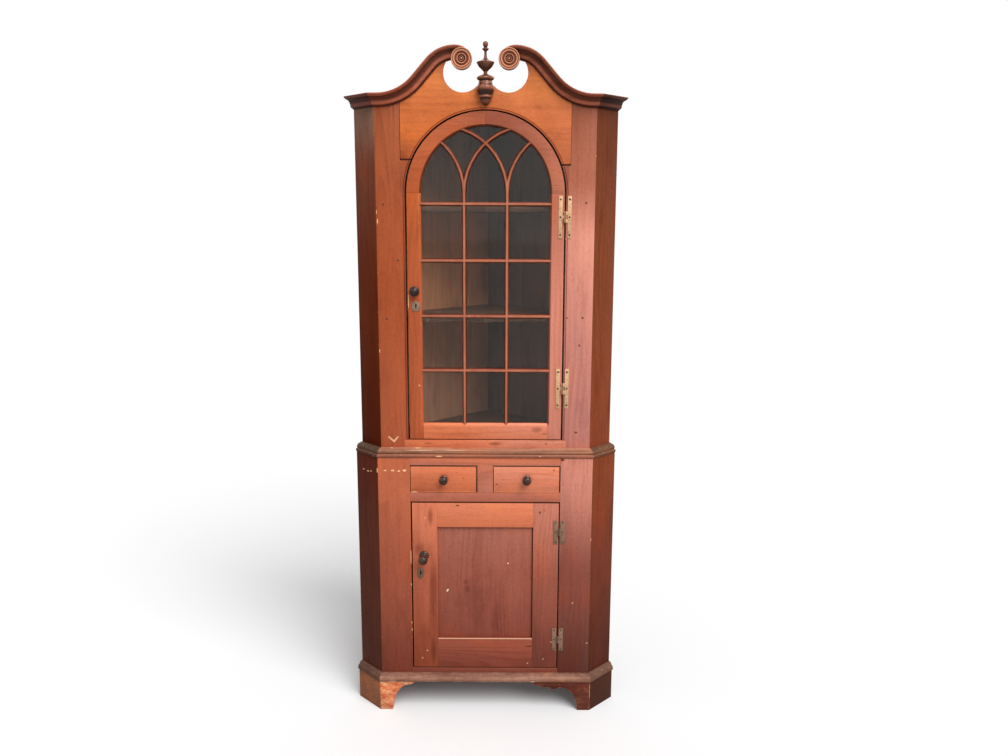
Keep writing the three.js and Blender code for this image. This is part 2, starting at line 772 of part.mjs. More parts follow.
// A rosette's face, and behind it the boss that meets the board.
function rosette() {
  const rings = scaleShares(rosetteShares, rosetteRadius, rosetteThickness);
  const step = fit + rosetteThickness - rosetteProjection;
  const profile = [
    ...rings, [rosetteBossRadius, 0], [rosetteBossRadius, step], [0, step],
  ].map(([r, h]) => new THREE.Vector2(r, h));
  return new THREE.LatheGeometry(profile, turnedSides).rotateX(Math.PI);
}

// The turned finial, notched below to sit over the tongue of the board.
function finial() {
  const axis = upperFront - finialForward;
  const foot = tongueTop - finialDrop;
  const turned = turn(finialShares, finialRadius, finialHeight, turnedSides).translate(0, axis, foot);
  const notch = block(
    -finialRadius - overrun, finialRadius + overrun, upperFront - fit, axis + finialRadius + overrun,
    foot - overrun, tongueTop + fit,
  );
  return cut(turned, notch);
}

// A shelf whose front is sawn to two scallops.
function shelf(bottom) {
  const front = upperFront + boardThickness + shelfSetback;
  const plan = insidePlan(upperPlan, front);
  const shape = new THREE.Shape();
  shape.moveTo(...plan[0]);
  shape.lineTo(-2 * shelfScallopHalf, front);
  shape.quadraticCurveTo(-shelfScallopHalf, front + 2 * shelfScallopDepth, 0, front);
  shape.quadraticCurveTo(shelfScallopHalf, front + 2 * shelfScallopDepth, 2 * shelfScallopHalf, front);
  plan.slice(1).forEach((point) => shape.lineTo(...point));
  const solid = new THREE.ExtrudeGeometry(
    shape, { depth: shelfThickness, bevelEnabled: false, curveSegments: hollowSegments },
  );
  return solid.translate(0, 0, bottom);
}

function upperCase() {
  const behind = upperFront + boardThickness + fit;
  const railHalf = seamHalf - fit;
  const floorTop = upperSill;
  const floor = raise(insidePlan(upperPlan, behind), floorTop - shelfThickness, floorTop);
  const top = raise(
    insidePlan(upperPlan, behind), upperCaseTop - topBoardDrop - shelfThickness, upperCaseTop - topBoardDrop,
  );
  const rail = block(-railHalf, railHalf, upperFront, upperFront + boardThickness, waistTop + fit, upperSill);
  const place = (mesh, side) => {
    const front = upperFront - rosetteProjection + rosetteThickness;
    mesh.position.set(side * rosetteAcross, front, rosetteHeight);
    return mesh;
  };
  return group(
    piece('upper_left_stile', upperStile(sides.left, leftSeamRise - seamGap), pine),
    piece('upper_right_stile', upperStile(sides.right, rightSeamRise - seamGap), pine),
    returnsAndBacks('upper', upperPlan, pine, waistTop + fit, waistTop + fit, upperCaseTop),
    piece('upper_bottom_rail', rail, orangePine),
    piece('upper_floor', floor, bareBoard),
    piece('upper_top', top, bareBoard),
    piece('upper_shelf_low', shelf(barHeight(1) - shelfUnderBar - shelfThickness), bareBoard),
    piece('upper_shelf_high', shelf(barHeight(barCount - 1) - shelfUnderBar - shelfThickness), bareBoard),
    piece('tympanum', tympanum(), orangePine),
    piece('left_cornice', cornice(sides.left), darkMoulding),
    piece('right_cornice', cornice(sides.right), darkMoulding),
    place(piece('left_rosette', rosette(), orangePine), sides.left),
    place(piece('right_rosette', rosette(), orangePine), sides.right),
    piece('finial', finial(), darkTurning),
  );
}

// Glazed door. Its outline is an upright with a round head, drawn at any distance inside the opening.
function headedShape(half, bottom) {
  const shape = new THREE.Shape();
  shape.moveTo(-half, bottom);
  shape.lineTo(half, bottom);
  shape.lineTo(half, springing);
  shape.absarc(0, springing, half, 0, Math.PI, false);
  shape.lineTo(-half, bottom);
  return shape;
}

// A three-sided ring that lies in the bevel round the sight opening.
function bevelRing(ease) {
  const rise = sightBevel - ease;
  const section = [
    [-overrun / 2, -overrun],
    [rise + overrun, -overrun],
    [-overrun / 2, rise + overrun / 2],
  ];
  const ring = (x, z, outX, outZ) => section.map(([out, deep]) => new THREE.Vector3(
    x + out * outX, upperFront + deep, z + out * outZ,
  ));
  const rings = [
    ring(-sightHalf, sightBottom, -1, -1),
    ring(sightHalf, sightBottom, 1, -1),
  ];
  for (let step = 0; step <= archSegments; step += 1) {
    const angle = Math.PI * step / archSegments;
    const across = Math.cos(angle);
    const rise2 = Math.sin(angle);
    rings.push(ring(sightHalf * across, springing + sightHalf * rise2, across, rise2));
  }
  return loft(rings, section, true);
}

function doorFrame() {
  const back = upperFront + boardThickness;
  const rabbetFront = upperFront + glassSetback;
  const rabbet = deepen(
    headedShape(sightHalf + glassRabbet, sightBottom - glassRabbet), rabbetFront, back + overrun,
  );
  const bevel = bevelRing(0);
  const stile = (side) => cut(
    block(side * sightHalf, side * doorHalf, upperFront, back, doorBottom, springing - fit), rabbet, bevel,
  );
  const railHalf = sightHalf - fit;
  const rail = cut(block(-railHalf, railHalf, upperFront, back, doorBottom, sightBottom), rabbet, bevel);
  const headShape = new THREE.Shape();
  headShape.moveTo(doorHalf, springing);
  headShape.absarc(0, springing, doorHalf, 0, Math.PI, false);
  headShape.lineTo(-sightHalf, springing);
  headShape.absarc(0, springing, sightHalf, Math.PI, 0, true);
  const head = cut(deepen(headShape, upperFront, back), rabbet, bevel);
  return [
    piece('upper_door_left_stile', stile(sides.left), orangePine),
    piece('upper_door_right_stile', stile(sides.right), orangePine),
    piece('upper_door_arch', head, orangePine),
    piece('upper_door_bottom_rail', rail, orangePine),
  ];
}

// One glazing bar through a list of places, each with the direction across the bar.
function glazingBar(places) {
  const back = glassSetback - fit;
  const section = [
    [-barNose / 2, barSetback], [barNose / 2, barSetback], [barWidth / 2, barSetback + barShoulder],
    [barWidth / 2, back], [-barWidth / 2, back], [-barWidth / 2, barSetback + barShoulder],
  ];
  const rings = places.map(({ x, z, acrossX, acrossZ }) => section.map(([out, deep]) => new THREE.Vector3(
    x + out * acrossX, upperFront + deep, z + out * acrossZ,
  )));
  return loft(rings, section);
}

// A tracery arc springs from an upright bar and bends over to one side as a quarter of a circle.
function traceryArc(foot, side) {
  const centre = foot + side * sightHalf;
  const places = [];
  for (let step = 0; step <= barSegments; step += 1) {
    const angle = Math.PI / 2 * step / barSegments;
    places.push({
      x: centre - side * sightHalf * Math.cos(angle),
      z: springing + sightHalf * Math.sin(angle),
      acrossX: -side * Math.cos(angle),
      acrossZ: Math.sin(angle),
    });
  }
  return glazingBar(places);
}

function glazingBars() {
  const bars = [];
  for (let bar = 0; bar < barCount; bar += 1) {
    const z = barHeight(bar);
    bars.push(glazingBar([
      { x: -doorHalf, z, acrossX: 0, acrossZ: -1 },
      { x: doorHalf, z, acrossX: 0, acrossZ: -1 },
    ]));
  }
  for (const side of Object.values(sides)) {
    const x = side * barAcross;
    bars.push(glazingBar([
      { x, z: doorBottom, acrossX: 1, acrossZ: 0 },
      { x, z: springing + fit, acrossX: 1, acrossZ: 0 },
    ]));
    bars.push(traceryArc(x, sides.left), traceryArc(x, sides.right));
  }
  const opening = deepen(
    headedShape(sightHalf - fit, sightBottom + fit), upperFront - overrun, upperFront + boardThickness,
  );
  const room = join(opening, bevelRing(2 * fit));
  return keepWithin(join(...bars), room);
}

function keyhole(height) {
  const hole = new THREE.Path();
  hole.moveTo(keyholeSlot, height);
  hole.absarc(0, height, keyholeRadius, -Math.PI / 3, 4 * Math.PI / 3, false);
  hole.lineTo(-keyholeSlot, height - keyholeLength);
  hole.lineTo(keyholeSlot, height - keyholeLength);
  return hole;
}

// A key plate with lobes on its edge: its radius waves round an oval.
function lobedPlate(halfWidth, halfHeight, lobes, waveShare) {
  const count = lobes > 0 ? lobes * 4 : knobSides;
  const points = [];
  for (let step = 0; step < count; step += 1) {
    const angle = 2 * Math.PI * step / count;
    const wave = 1 - waveShare + waveShare * Math.cos(lobes * angle);
    points.push([halfWidth * wave * Math.cos(angle), halfHeight * wave * Math.sin(angle)]);
  }
  const shape = outline(points);
  shape.holes.push(keyhole(keyholeRadius));
  return deepen(shape, -plateThickness, 0, 3);
}

function placed(mesh, x, y, z) {
  mesh.position.set(x, y, z);
  return mesh;
}

// An H hinge: the case leaf carries the pin and the two outer knuckles, the door leaf the middle one.
function hinge(name, sizes, material, z) {
  const { axisX, axisY, width, inset, height, knuckle } = sizes;
  const face = hingeForward;
  const plateFront = face - fit - leafThickness;
  const plateBack = face - fit;
  const third = knuckle / 3;
  const barrel = (radius, from, to) => new THREE.CylinderGeometry(radius, radius, to - from, barrelSides)
    .rotateX(Math.PI / 2)
    .translate(0, 0, (from + to) / 2);
  const plate = (side) => block(
    side * inset, side * (inset + width), plateFront, plateBack, -height / 2, height / 2,
  );
  const tab = (side, from, to) => block(0, side * (inset + leafThickness), plateFront, plateBack, from, to);
  const caseLeaf = join(
    plate(sides.right),
    tab(sides.right, third / 2 + fit, knuckle / 2),
    tab(sides.right, -knuckle / 2, -third / 2 - fit),
    barrel(knuckleRadius, third / 2 + fit, knuckle / 2),
    barrel(knuckleRadius, -knuckle / 2, -third / 2 - fit),
    barrel(pinRadius, -knuckle / 2 - leafThickness, knuckle / 2 + leafThickness),
  );
  const doorLeaf = cut(
    join(
      plate(sides.left),
      tab(sides.left, -third / 2, third / 2),
      barrel(knuckleRadius, -third / 2, third / 2),
    ),
    barrel(pinRadius + pinPlay, -third, third),
  );
  return {
    caseLeaf: placed(piece(`${name}_case_leaf`, caseLeaf, material), axisX, axisY, z),
    doorLeaf: placed(piece(`${name}_door_leaf`, doorLeaf, material), axisX, axisY, z),
  };
}

const brassHinge = {
  axisX: upperOpeningHalf - doorGap / 2,
  axisY: upperFront - hingeForward,
  width: brassLeafWidth,
  inset: brassLeafInset,
  height: brassLeafHeight,
  knuckle: brassKnuckle,
};
const ironHinge = {
  axisX: lowerOpeningHalf - doorGap / 2,
  axisY: -hingeForward,
  width: ironLeafWidth,
  inset: ironLeafInset,
  height: ironLeafHeight,
  knuckle: ironKnuckle,
};

function upperDoor(hinges) {
  const front = upperFront + glassSetback + fit;
  const edge = glassRabbet - glassPlay;
  const glass = deepen(headedShape(sightHalf + edge, sightBottom - edge), front, front + glassThickness);
  const knob = turnForward(doorKnobShares, doorKnobRadius, doorKnobLength, knobSides);
  const plate = lobedPlate(upperPlateHalfWidth, upperPlateHalfHeight, 8, 0.06);
  const knobHeight = upperSill + doorKnobShare * upperStraightHeight;
  return group(
    doorFrame(),
    piece('glazing_bars', glazingBars(), orangePine),
    piece('upper_door_glass', glass, pane),
    placed(
      piece('upper_door_knob', knob, darkTurning), doorKnobInset - doorHalf, upperFront - fit, knobHeight,
    ),
    placed(
      piece('upper_door_key_plate', plate, brass), upperPlateInset - doorHalf, upperFront - fit,
      knobHeight - upperPlateDrop,
    ),
    hinges.map((pair) => pair.doorLeaf),
  );
}

// Panelled door: grooved stiles and rails round a flat panel.
function lowerDoor(hinges) {
  const half = lowerOpeningHalf - doorGap;
  const bottom = lowerSill + doorGap;
  const top = drawerRailBottom - doorGap;
  const inner = half - panelStileWidth;
  const panelTop = top - panelTopRail;
  const panelBottom = bottom + panelBottomRail;
  const grooveFront = panelSetback - fit;
  const grooveBack = panelSetback + panelThickness + fit;
  const groove = block(
    -inner - panelTongue, inner + panelTongue, grooveFront, grooveBack,
    panelBottom - panelTongue, panelTop + panelTongue,
  );
  const stile = (side, edge) => cut(block(side * inner, side * edge, 0, boardThickness, bottom, top), groove);
  const railHalf = inner - fit;
  const rail = (from, to) => cut(block(-railHalf, railHalf, 0, boardThickness, from, to), groove);
  const reach = panelTongue - fit;
  const panel = block(
    -inner - reach, inner + reach, panelSetback, panelSetback + panelThickness,
    panelBottom - reach, panelTop + reach,
  );
  const knob = turnForward(panelKnobShares, panelKnobDiscRadius, panelKnobLength, knobSides);
  const plate = lobedPlate(lowerPlateHalfWidth, lowerPlateHalfHeight, 0, 0);
  const knobHeight = lowerSill + panelKnobShare * lowerOpeningHeight;
  return group(
    piece('lower_door_left_stile', stile(sides.left, lowerOpeningHalf - lowerLatchGap), redPine),
    piece('lower_door_right_stile', stile(sides.right, half), redPine),
    piece('lower_door_top_rail', rail(panelTop, top), redPine),
    piece('lower_door_bottom_rail', rail(bottom, panelBottom), redPine),
    piece('lower_door_panel', panel, redPine),
    placed(piece('lower_door_knob', knob, darkTurning), panelKnobInset - half, -fit, knobHeight),
    placed(
      piece('lower_door_key_plate', plate, brass), lowerPlateInset - half, -fit, knobHeight - lowerPlateDrop,
    ),
    hinges.map((pair) => pair.doorLeaf),
  );
}

// One drawer, drawn about the middle of its opening.
function drawer(name, side) {
  const openingHalf = (lowerOpeningHalf - dividerHalf) / 2;
  const half = openingHalf - drawerGap;
  const bottom = fit;
  const top = drawerOpeningHeight - drawerGap;
  const boxTop = top - drawerBoxDrop;
  const boxFront = drawerFrontThickness + fit;
  const boxBack = drawerFrontThickness + drawerDepth;
  const box = cut(
    block(-half, half, boxFront, boxBack, bottom, boxTop),
    block(
      -half + drawerSide, half - drawerSide, boxFront - overrun, boxBack - drawerSide,
      bottom + drawerBottom, boxTop + overrun,
    ),
  );
  const knob = turnForward(drawerKnobShares, drawerKnobRadius, drawerKnobLength, knobSides);
  const holder = group(
    piece(`${name}_drawer_front`, block(-half, half, 0, drawerFrontThickness, bottom, top), redPine),
    piece(`${name}_drawer_box`, box, bareBoard),
    placed(piece(`${name}_drawer_knob`, knob, darkTurning), 0, -fit, drawerOpeningHeight / 2),
  );
  holder.position.set(side * (dividerHalf + openingHalf), 0, drawerSill);
  return holder;
}

const brassHinges = [
  hinge('upper_hinge_low', brassHinge, brass, upperSill + brassLowRise),
  hinge('upper_hinge_high', brassHinge, brass, springing - brassHighDrop),
];
const ironHinges = [
  hinge('lower_hinge_low', ironHinge, iron, lowerSill + ironLowRise),
  hinge('lower_hinge_high', ironHinge, iron, drawerRailBottom - ironHighDrop),
];

const cupboard = group(
  lowerCase(),
  waist(),
  upperCase(),
  [...brassHinges, ...ironHinges].map((pair) => pair.caseLeaf),
  upperDoor(brassHinges),
  lowerDoor(ironHinges),
  drawer('left', sides.left),
  drawer('right', sides.right),
);

// The origin goes to the middle of the box's underside.
const bounds = new THREE.Box3().setFromObject(cupboard);
const middle = bounds.getCenter(new THREE.Vector3());
cupboard.position.set(-middle.x, -middle.y, -bounds.min.z);
cupboard.updateMatrixWorld(true);

export default cupboard;
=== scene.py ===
"""A two-case corner cupboard in old stained pine, dressed round its fixed frame.

The frame says where every board, moulding and fitting is. Each class with a build method dresses one
sub-assembly: it copies the frame's boards, eases their edges, turns and cuts the small pieces, and gives each
one its finish. Lengths are in metres, +Z is up and the front faces -Y.
"""

from __future__ import annotations

import json
import logging
import math
import random
from contextlib import contextmanager
from dataclasses import dataclass, field
from enum import Enum
from functools import cached_property
from typing import Callable, Iterable, Iterator, Sequence

import bpy
from mathutils import Matrix, Vector

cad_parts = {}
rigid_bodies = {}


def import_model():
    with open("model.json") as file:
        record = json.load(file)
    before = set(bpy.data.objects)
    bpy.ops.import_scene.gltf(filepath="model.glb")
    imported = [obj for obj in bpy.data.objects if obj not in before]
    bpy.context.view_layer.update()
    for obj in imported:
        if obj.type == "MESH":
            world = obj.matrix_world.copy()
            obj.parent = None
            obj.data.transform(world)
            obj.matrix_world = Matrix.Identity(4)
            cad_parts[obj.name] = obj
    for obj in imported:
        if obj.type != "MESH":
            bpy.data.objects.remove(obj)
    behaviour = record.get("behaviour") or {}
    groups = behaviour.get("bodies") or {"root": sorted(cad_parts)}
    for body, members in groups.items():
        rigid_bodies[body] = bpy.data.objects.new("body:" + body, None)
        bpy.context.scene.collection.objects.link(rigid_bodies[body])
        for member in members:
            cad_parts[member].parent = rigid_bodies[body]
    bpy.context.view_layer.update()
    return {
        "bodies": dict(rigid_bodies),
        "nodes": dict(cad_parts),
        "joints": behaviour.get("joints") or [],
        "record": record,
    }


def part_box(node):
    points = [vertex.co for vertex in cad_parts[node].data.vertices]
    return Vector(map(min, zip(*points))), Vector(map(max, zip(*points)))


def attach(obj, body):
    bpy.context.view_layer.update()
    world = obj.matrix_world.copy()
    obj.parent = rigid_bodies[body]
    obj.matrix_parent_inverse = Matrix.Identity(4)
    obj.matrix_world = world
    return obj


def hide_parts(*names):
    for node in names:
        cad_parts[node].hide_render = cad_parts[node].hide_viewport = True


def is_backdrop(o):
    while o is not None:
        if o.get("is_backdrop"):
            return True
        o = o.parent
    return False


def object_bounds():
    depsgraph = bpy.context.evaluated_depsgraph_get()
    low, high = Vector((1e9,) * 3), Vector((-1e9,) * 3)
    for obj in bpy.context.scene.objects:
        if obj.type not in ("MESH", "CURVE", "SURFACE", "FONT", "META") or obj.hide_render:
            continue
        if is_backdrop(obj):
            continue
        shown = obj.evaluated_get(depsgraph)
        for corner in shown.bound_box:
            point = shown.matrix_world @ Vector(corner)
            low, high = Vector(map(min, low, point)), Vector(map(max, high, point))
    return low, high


LOG = logging.getLogger("corner_cupboard")
MM = 0.001
ARRIS = 0.9 * MM  # width of a board's eased edges
STILE_ARRIS = 1.2 * MM
ENDLESS = 9.0  # half size of a mark that runs right across or along a board
LOWER_HALF_FRONT = 356.5 * MM  # from the middle to the mitre where the canted side begins
LOWER_FRONT = -233.1 * MM
UPPER_HALF_FRONT = 347 * MM
UPPER_FRONT = -207.6 * MM
TO_FRONT = Matrix.Rotation(math.pi / 2, 4, "X")  # lays a turning down so that its top looks forward

Socket = bpy.types.NodeSocket
Piece = bpy.types.Object
Tone = tuple[float, float, float, float]
Stops = tuple[tuple[float, Tone], ...]
Share = tuple[float, float]


def tone(red: float, green: float, blue: float) -> Tone:
    """Turns a colour as a screen shows it into the linear one that shaders read.

    Args:
        red: Red, 0 to 255.
        green: Green, 0 to 255.
        blue: Blue, 0 to 255.

    Returns:
        The linear colour, with full opacity.
    """

    def linear(value: float) -> float:
        """Returns one linear channel."""
        share = value / 255
        return share / 12.92 if share <= 0.04045 else ((share + 0.055) / 1.055) ** 2.4

    return (linear(red), linear(green), linear(blue), 1.0)


def stops(*marks: tuple[float, float, float, float]) -> Stops:
    """Sets out the colours along a run.

    Args:
        *marks: Places from 0 to 1, each with its red, green and blue, 0 to 255.

    Returns:
        The places with their linear colours.
    """
    return tuple((place, tone(red, green, blue)) for place, red, green, blue in marks)


class Grain(Enum):
    """The way the grain runs in a board."""

    UP = "Z"
    ACROSS = "X"

    def stretch(self, along: float) -> tuple[float, float, float]:
        """Returns the scale on X, Y and Z of a pattern that is drawn out along the grain."""
        return (along, 1, 1) if self is Grain.ACROSS else (1, 1, along)


class Blend(Enum):
    """The ways that one colour lies over another."""

    OVER = "MIX"
    DARKEN = "MULTIPLY"
    SOFTEN = "SOFT_LIGHT"


@dataclass(frozen=True)
class Value:
    """A number that a material works out at each place. Sums with it are written as on paper."""

    graph: Graph
    socket: Socket

    def __add__(self, other: Amount) -> Value:
        """Adds another number."""
        return self.graph.work_out("ADD", self, other)

    def __sub__(self, other: Amount) -> Value:
        """Takes another number away."""
        return self.graph.work_out("SUBTRACT", self, other)

    def __rsub__(self, other: float) -> Value:
        """Takes this away from another number."""
        return self.graph.work_out("SUBTRACT", other, self)

    def __mul__(self, other: Amount) -> Value:
        """Multiplies by another number."""
        return self.graph.work_out("MULTIPLY", self, other)

    def __truediv__(self, other: Amount) -> Value:
        """Divides by another number."""
        return self.graph.work_out("DIVIDE", self, other)

    def __abs__(self) -> Value:
        """Drops the sign."""
        return self.graph.work_out("ABSOLUTE", self)

    def root(self) -> Value:
        """Takes the square root."""
        return self.graph.work_out("SQRT", self)

    def most(self, other: Amount) -> Value:
        """Picks the larger of this and another number."""
        return self.graph.work_out("MAXIMUM", self, other)

    def rise(self, low: float, high: float, top: float = 1.0) -> Value:
        """Rises smoothly from 0 to top as this goes from low to high.

        Args:
            low: Where the rise starts.
            high: Where it ends.
            top: What it rises to.

        Returns:
            The risen value.
        """
        inputs = {"Value": self, "From Min": low, "From Max": high, "To Max": top}
        node = self.graph.add("ShaderNodeMapRange", inputs, interpolation_type="SMOOTHSTEP")
        return Value(self.graph, node.outputs["Result"])

    def fall(self, low: float, high: float, top: float = 1.0) -> Value:
        """Falls smoothly from top to 0 as this goes from low to high."""
        return top - self.rise(low, high, top)


Amount = Value | float


class Graph:
    """The nodes of one material, or of the world, built a step at a time."""

    def __init__(self, owner: bpy.types.Material | bpy.types.World) -> None:
        """Starts with the owner's nodes cleared away.

        Args:
            owner: The material or the world.
        """
        owner.use_nodes = True
        self.owner = owner
        self.tree = owner.node_tree
        self.tree.nodes.clear()

    @classmethod
    def named(cls, name: str) -> Graph:
        """Starts an empty material of this name."""
        return cls(bpy.data.materials.new(name))

    @cached_property
    def place(self) -> Socket:
        """The place on the object, in its own coordinates."""
        return self.add("ShaderNodeTexCoord").outputs["Object"]

    def add(
        self, kind: str, inputs: dict[str | int, object] | None = None, **settings: object
    ) -> bpy.types.Node:
        """Adds a node.

        Args:
            kind: Its type.
            inputs: What each input gets: a value or a socket to link it to, or a plain number or tone.
            **settings: Its own settings.

        Returns:
            The node.
        """
        node = self.tree.nodes.new(kind)
        for name, setting in settings.items():
            setattr(node, name, setting)
        for name, source in (inputs or {}).items():
            source = source.socket if isinstance(source, Value) else source
            if isinstance(source, Socket):
                self.tree.links.new(source, node.inputs[name])
            else:
                node.inputs[name].default_value = source
        return node

    def work_out(self, operation: str, first: object, second: object = 0.0) -> Value:
        """Works out one value from two.

        Args:
            operation: The kind of sum.
            first: A value, a socket or a plain number.
            second: Another one.

        Returns:
            The result.
        """
        return Value(self, self.add("ShaderNodeMath", {0: first, 1: second}, operation=operation).outputs[0])

    def moved(self, vector: Socket, scale: Sequence[float], move: Sequence[float] = (0, 0, 0)) -> Socket:
        """Scales and then moves a place."""
        return self.add("ShaderNodeMapping", {"Vector": vector, "Scale": scale, "Location": move}).outputs[0]

    def noise(self, vector: Socket, scale: float, detail: float, rough: float = 0.5) -> Value:
        """Draws a cloudy pattern that runs from 0 to 1."""
        inputs = {"Vector": vector, "Scale": scale, "Detail": detail, "Roughness": rough}
        return Value(self, self.add("ShaderNodeTexNoise", inputs).outputs["Fac"])

    def mix(self, share: Amount, first: object, second: object, blend: Blend = Blend.OVER) -> Socket:
        """Lays one colour over another.

        Args:
            share: How much of the second colour shows.
            first: The colour below, a socket or a tone.
            second: The colour above, a socket or a tone.
            blend: The way it lies.

        Returns:
            The mixed colour's socket.
        """
        inputs = {"Factor": share, "A": first, "B": second}
        node = self.add("ShaderNodeMix", inputs, data_type="RGBA", blend_type=blend.value)
        return node.outputs["Result"]

    def ramp(self, share: Value, colours: Stops) -> Socket:
        """Turns a value into a colour by stops.

        Args:
            share: The value.
            colours: The places from 0 to 1 with their colours.

        Returns:
            The colour's socket.
        """
        node = self.add("ShaderNodeValToRGB", {"Fac": share})
        ramp = node.color_ramp
        ramp.interpolation = "EASE"
        while len(ramp.elements) < len(colours):
            ramp.elements.new(1.0)
        for element, (position, colour) in zip(ramp.elements, colours):
            element.position = position
            element.color = colour
        return node.outputs["Color"]

    def split(self) -> tuple[Value, Value, Value]:
        """Returns the place's X, Y and Z."""
        outputs = self.add("ShaderNodeSeparateXYZ", {0: self.place}).outputs
        return tuple(Value(self, outputs[axis]) for axis in range(3))

    def bump(self, height: Value, strength: float, distance: float) -> Socket:
        """Makes a height into a bumped normal."""
        inputs = {"Strength": strength, "Distance": distance, "Height": height}
        return self.add("ShaderNodeBump", inputs).outputs["Normal"]

    def finish(self, **sockets: object) -> bpy.types.Material:
        """Adds the surface shader.

        Args:
            **sockets: What its sockets are fed, with _ for a space.

        Returns:
            The material.
        """
        inputs = {name.replace("_", " "): source for name, source in sockets.items()}
        shader = self.add("ShaderNodeBsdfPrincipled", inputs)
        self.add("ShaderNodeOutputMaterial", {"Surface": shader.outputs[0]})
        return self.owner


@dataclass(frozen=True)
class Spot:
    """A small mark on a front board, by its place across and up and its half sizes."""

    across: float
    up: float
    half_width: float
    half_height: float


def spots(*marks: tuple[float, float, float, float]) -> tuple[Spot, ...]:
    """Sets out small marks.

    Args:
        *marks: The place across, the place up, the half width and the half height of each, in millimetres.

    Returns:
        The marks in metres.
    """
    return tuple(Spot(*(MM * measure for measure in mark)) for mark in marks)


@dataclass(frozen=True)
class Mark:
    """How one kind of mark looks: where it starts to fade, where it has gone, its strength and its tint."""

    inner: float
    outer: float
    strength: float
    tint: Tone
    blend: Blend = Blend.OVER
    frayed: bool = True


RUB = Mark(0.2, 1.1, 1.0, tone(255, 226, 206), Blend.SOFTEN)
# Soft dark patches of handling, and painted shade beside the lower door's sunk panel.
SMUDGE_AND_SHADE = Mark(-0.8, 1.4, 0.7, tone(120, 70, 60), Blend.DARKEN)
KNOT = Mark(0.2, 1.1, 0.8, tone(78, 40, 32))
# Dark lines of open joints, and painted shade in the gaps round the drawers, the sunk panel and the drawer
# shelf.
JOINT_AND_GAP_SHADE = Mark(0.2, 1.0, 0.9, tone(46, 22, 15), frayed=False)


@dataclass(frozen=True)
class CantShade:
    """Painted shade: the darker tones that a piece takes beyond its mitres, where it runs round onto the
    canted sides.
    """

    half_front: float
    front: float
    left: Tone
    right: Tone
    mitre: float = math.tan(math.pi / 8)

    def tint(self, graph: Graph, stain: Socket) -> Socket:
        """Paints shade on a stain beyond the mitres.

        Args:
            graph: The material's nodes.
            stain: The stain's colour.

        Returns:
            The tinted colour.
        """
        across, back, _ = graph.split()
        lead = (back - self.front) * self.mitre
        mitre = (self.half_front - MM / 2, self.half_front + MM / 2)
        left, right = (lead - across).rise(*mitre), (lead + across).rise(*mitre)
        return graph.mix(right, graph.mix(left, stain, self.left), self.right)


def lower_cant_shade(left: Tone, right: Tone) -> CantShade:
    """Paints shade on what runs round from the lower case's front onto its canted sides."""
    return CantShade(LOWER_HALF_FRONT, LOWER_FRONT, left, right)


@dataclass(frozen=True)
class MemberShade:
    """Painted shade and highlight on a moulding's members, by how far each one stands out from a plane.

    Beyond half_front the plane turns back at 45 degrees, as the case does.
    """

    plane: float
    projection: float
    shades: Stops
    half_front: float = 1.0

    def tint(self, graph: Graph, stain: Socket) -> Socket:
        """Paints shade and highlight on a stain, member by member.

        Args:
            graph: The material's nodes.
            stain: The stain's colour.

        Returns:
            The shaded colour.
        """
        across, back, _ = graph.split()
        ahead = self.plane - back
        beside = abs(across) - self.half_front + ahead
        out = ahead.most(beside / math.sqrt(2))
        return graph.mix(1.0, stain, graph.ramp(out / self.projection, self.shades), Blend.DARKEN)


@dataclass(frozen=True)
class ArchShade:
    """A bead painted round an arched opening, whose shades run outwards from the opening's edge: first a
    painted shadow in the door's gap, then a band and a dark line drawn as a scribed bead.

    Below the arch's centre the bead runs straight down. Away from the crown the gap is wider, and the painted
    shadow at its edge reaches further by open, which grows between the two distances of crown from the
    middle.
    """

    centre: float
    radius: float
    band: float
    shades: Stops
    open: float = 0.17
    crown: tuple[float, float] = (0.02, 0.12)

    def tint(self, graph: Graph, stain: Socket) -> Socket:
        """Paints shade on a stain along the bead.

        Args:
            graph: The material's nodes.
            stain: The stain's colour.

        Returns:
            The shaded colour.
        """
        across, _, up = graph.split()
        above = (up - self.centre).most(0.0)
        away = (across * across + above * above).root() - self.radius
        share = away / self.band - abs(across).rise(*self.crown, self.open)
        return graph.mix(1.0, stain, graph.ramp(share, self.shades), Blend.DARKEN)


# Painted shadow in the gap round the glazed door's arch, with the bead drawn beside it.
PAINTED_OPENING_BEAD = ArchShade(
    centre=1.7605,
    radius=0.254,
    band=7.5 * MM,
    shades=stops(
        (0.0, 40, 22, 16), (0.14, 225, 215, 225), (0.48, 240, 232, 238), (0.66, 100, 62, 50),
        (0.84, 215, 200, 195), (1.0, 255, 255, 255),
    ),
)


@dataclass(frozen=True)
class Board:
    """Where a board's middle is, the way its widest face looks, and its name.

    Ahead is the way its face towards the room looks, and front how far along that way the board reaches.
    """

    name: str
    middle: Vector
    facing: Vector
    ahead: Vector
    front: float

    @classmethod
    def of(cls, piece: Piece) -> Board:
        """Reads them from a piece's mesh.

        Args:
            piece: The piece, in place.

        Returns:
            What they say of it.
        """
        corners = [Vector(corner) for corner in piece.bound_box]
        middle = sum(corners, Vector()) / len(corners)
        widest = max(piece.data.polygons, key=lambda face: face.area)
        faces = [face for face in piece.data.polygons if face.normal.y < -0.6] or [widest]
        ahead = max(faces, key=lambda face: face.area).normal.copy()
        front = max(vertex.co.dot(ahead) for vertex in piece.data.vertices)
        return cls(piece.name, middle, widest.normal.copy(), ahead, front)


@dataclass(frozen=True)
class Cloud:
    """A cloudy pattern in wood: its stretch along the grain, its scale, its detail and its roughness."""

    along: float
    scale: float
    detail: float
    rough: float = 0.5


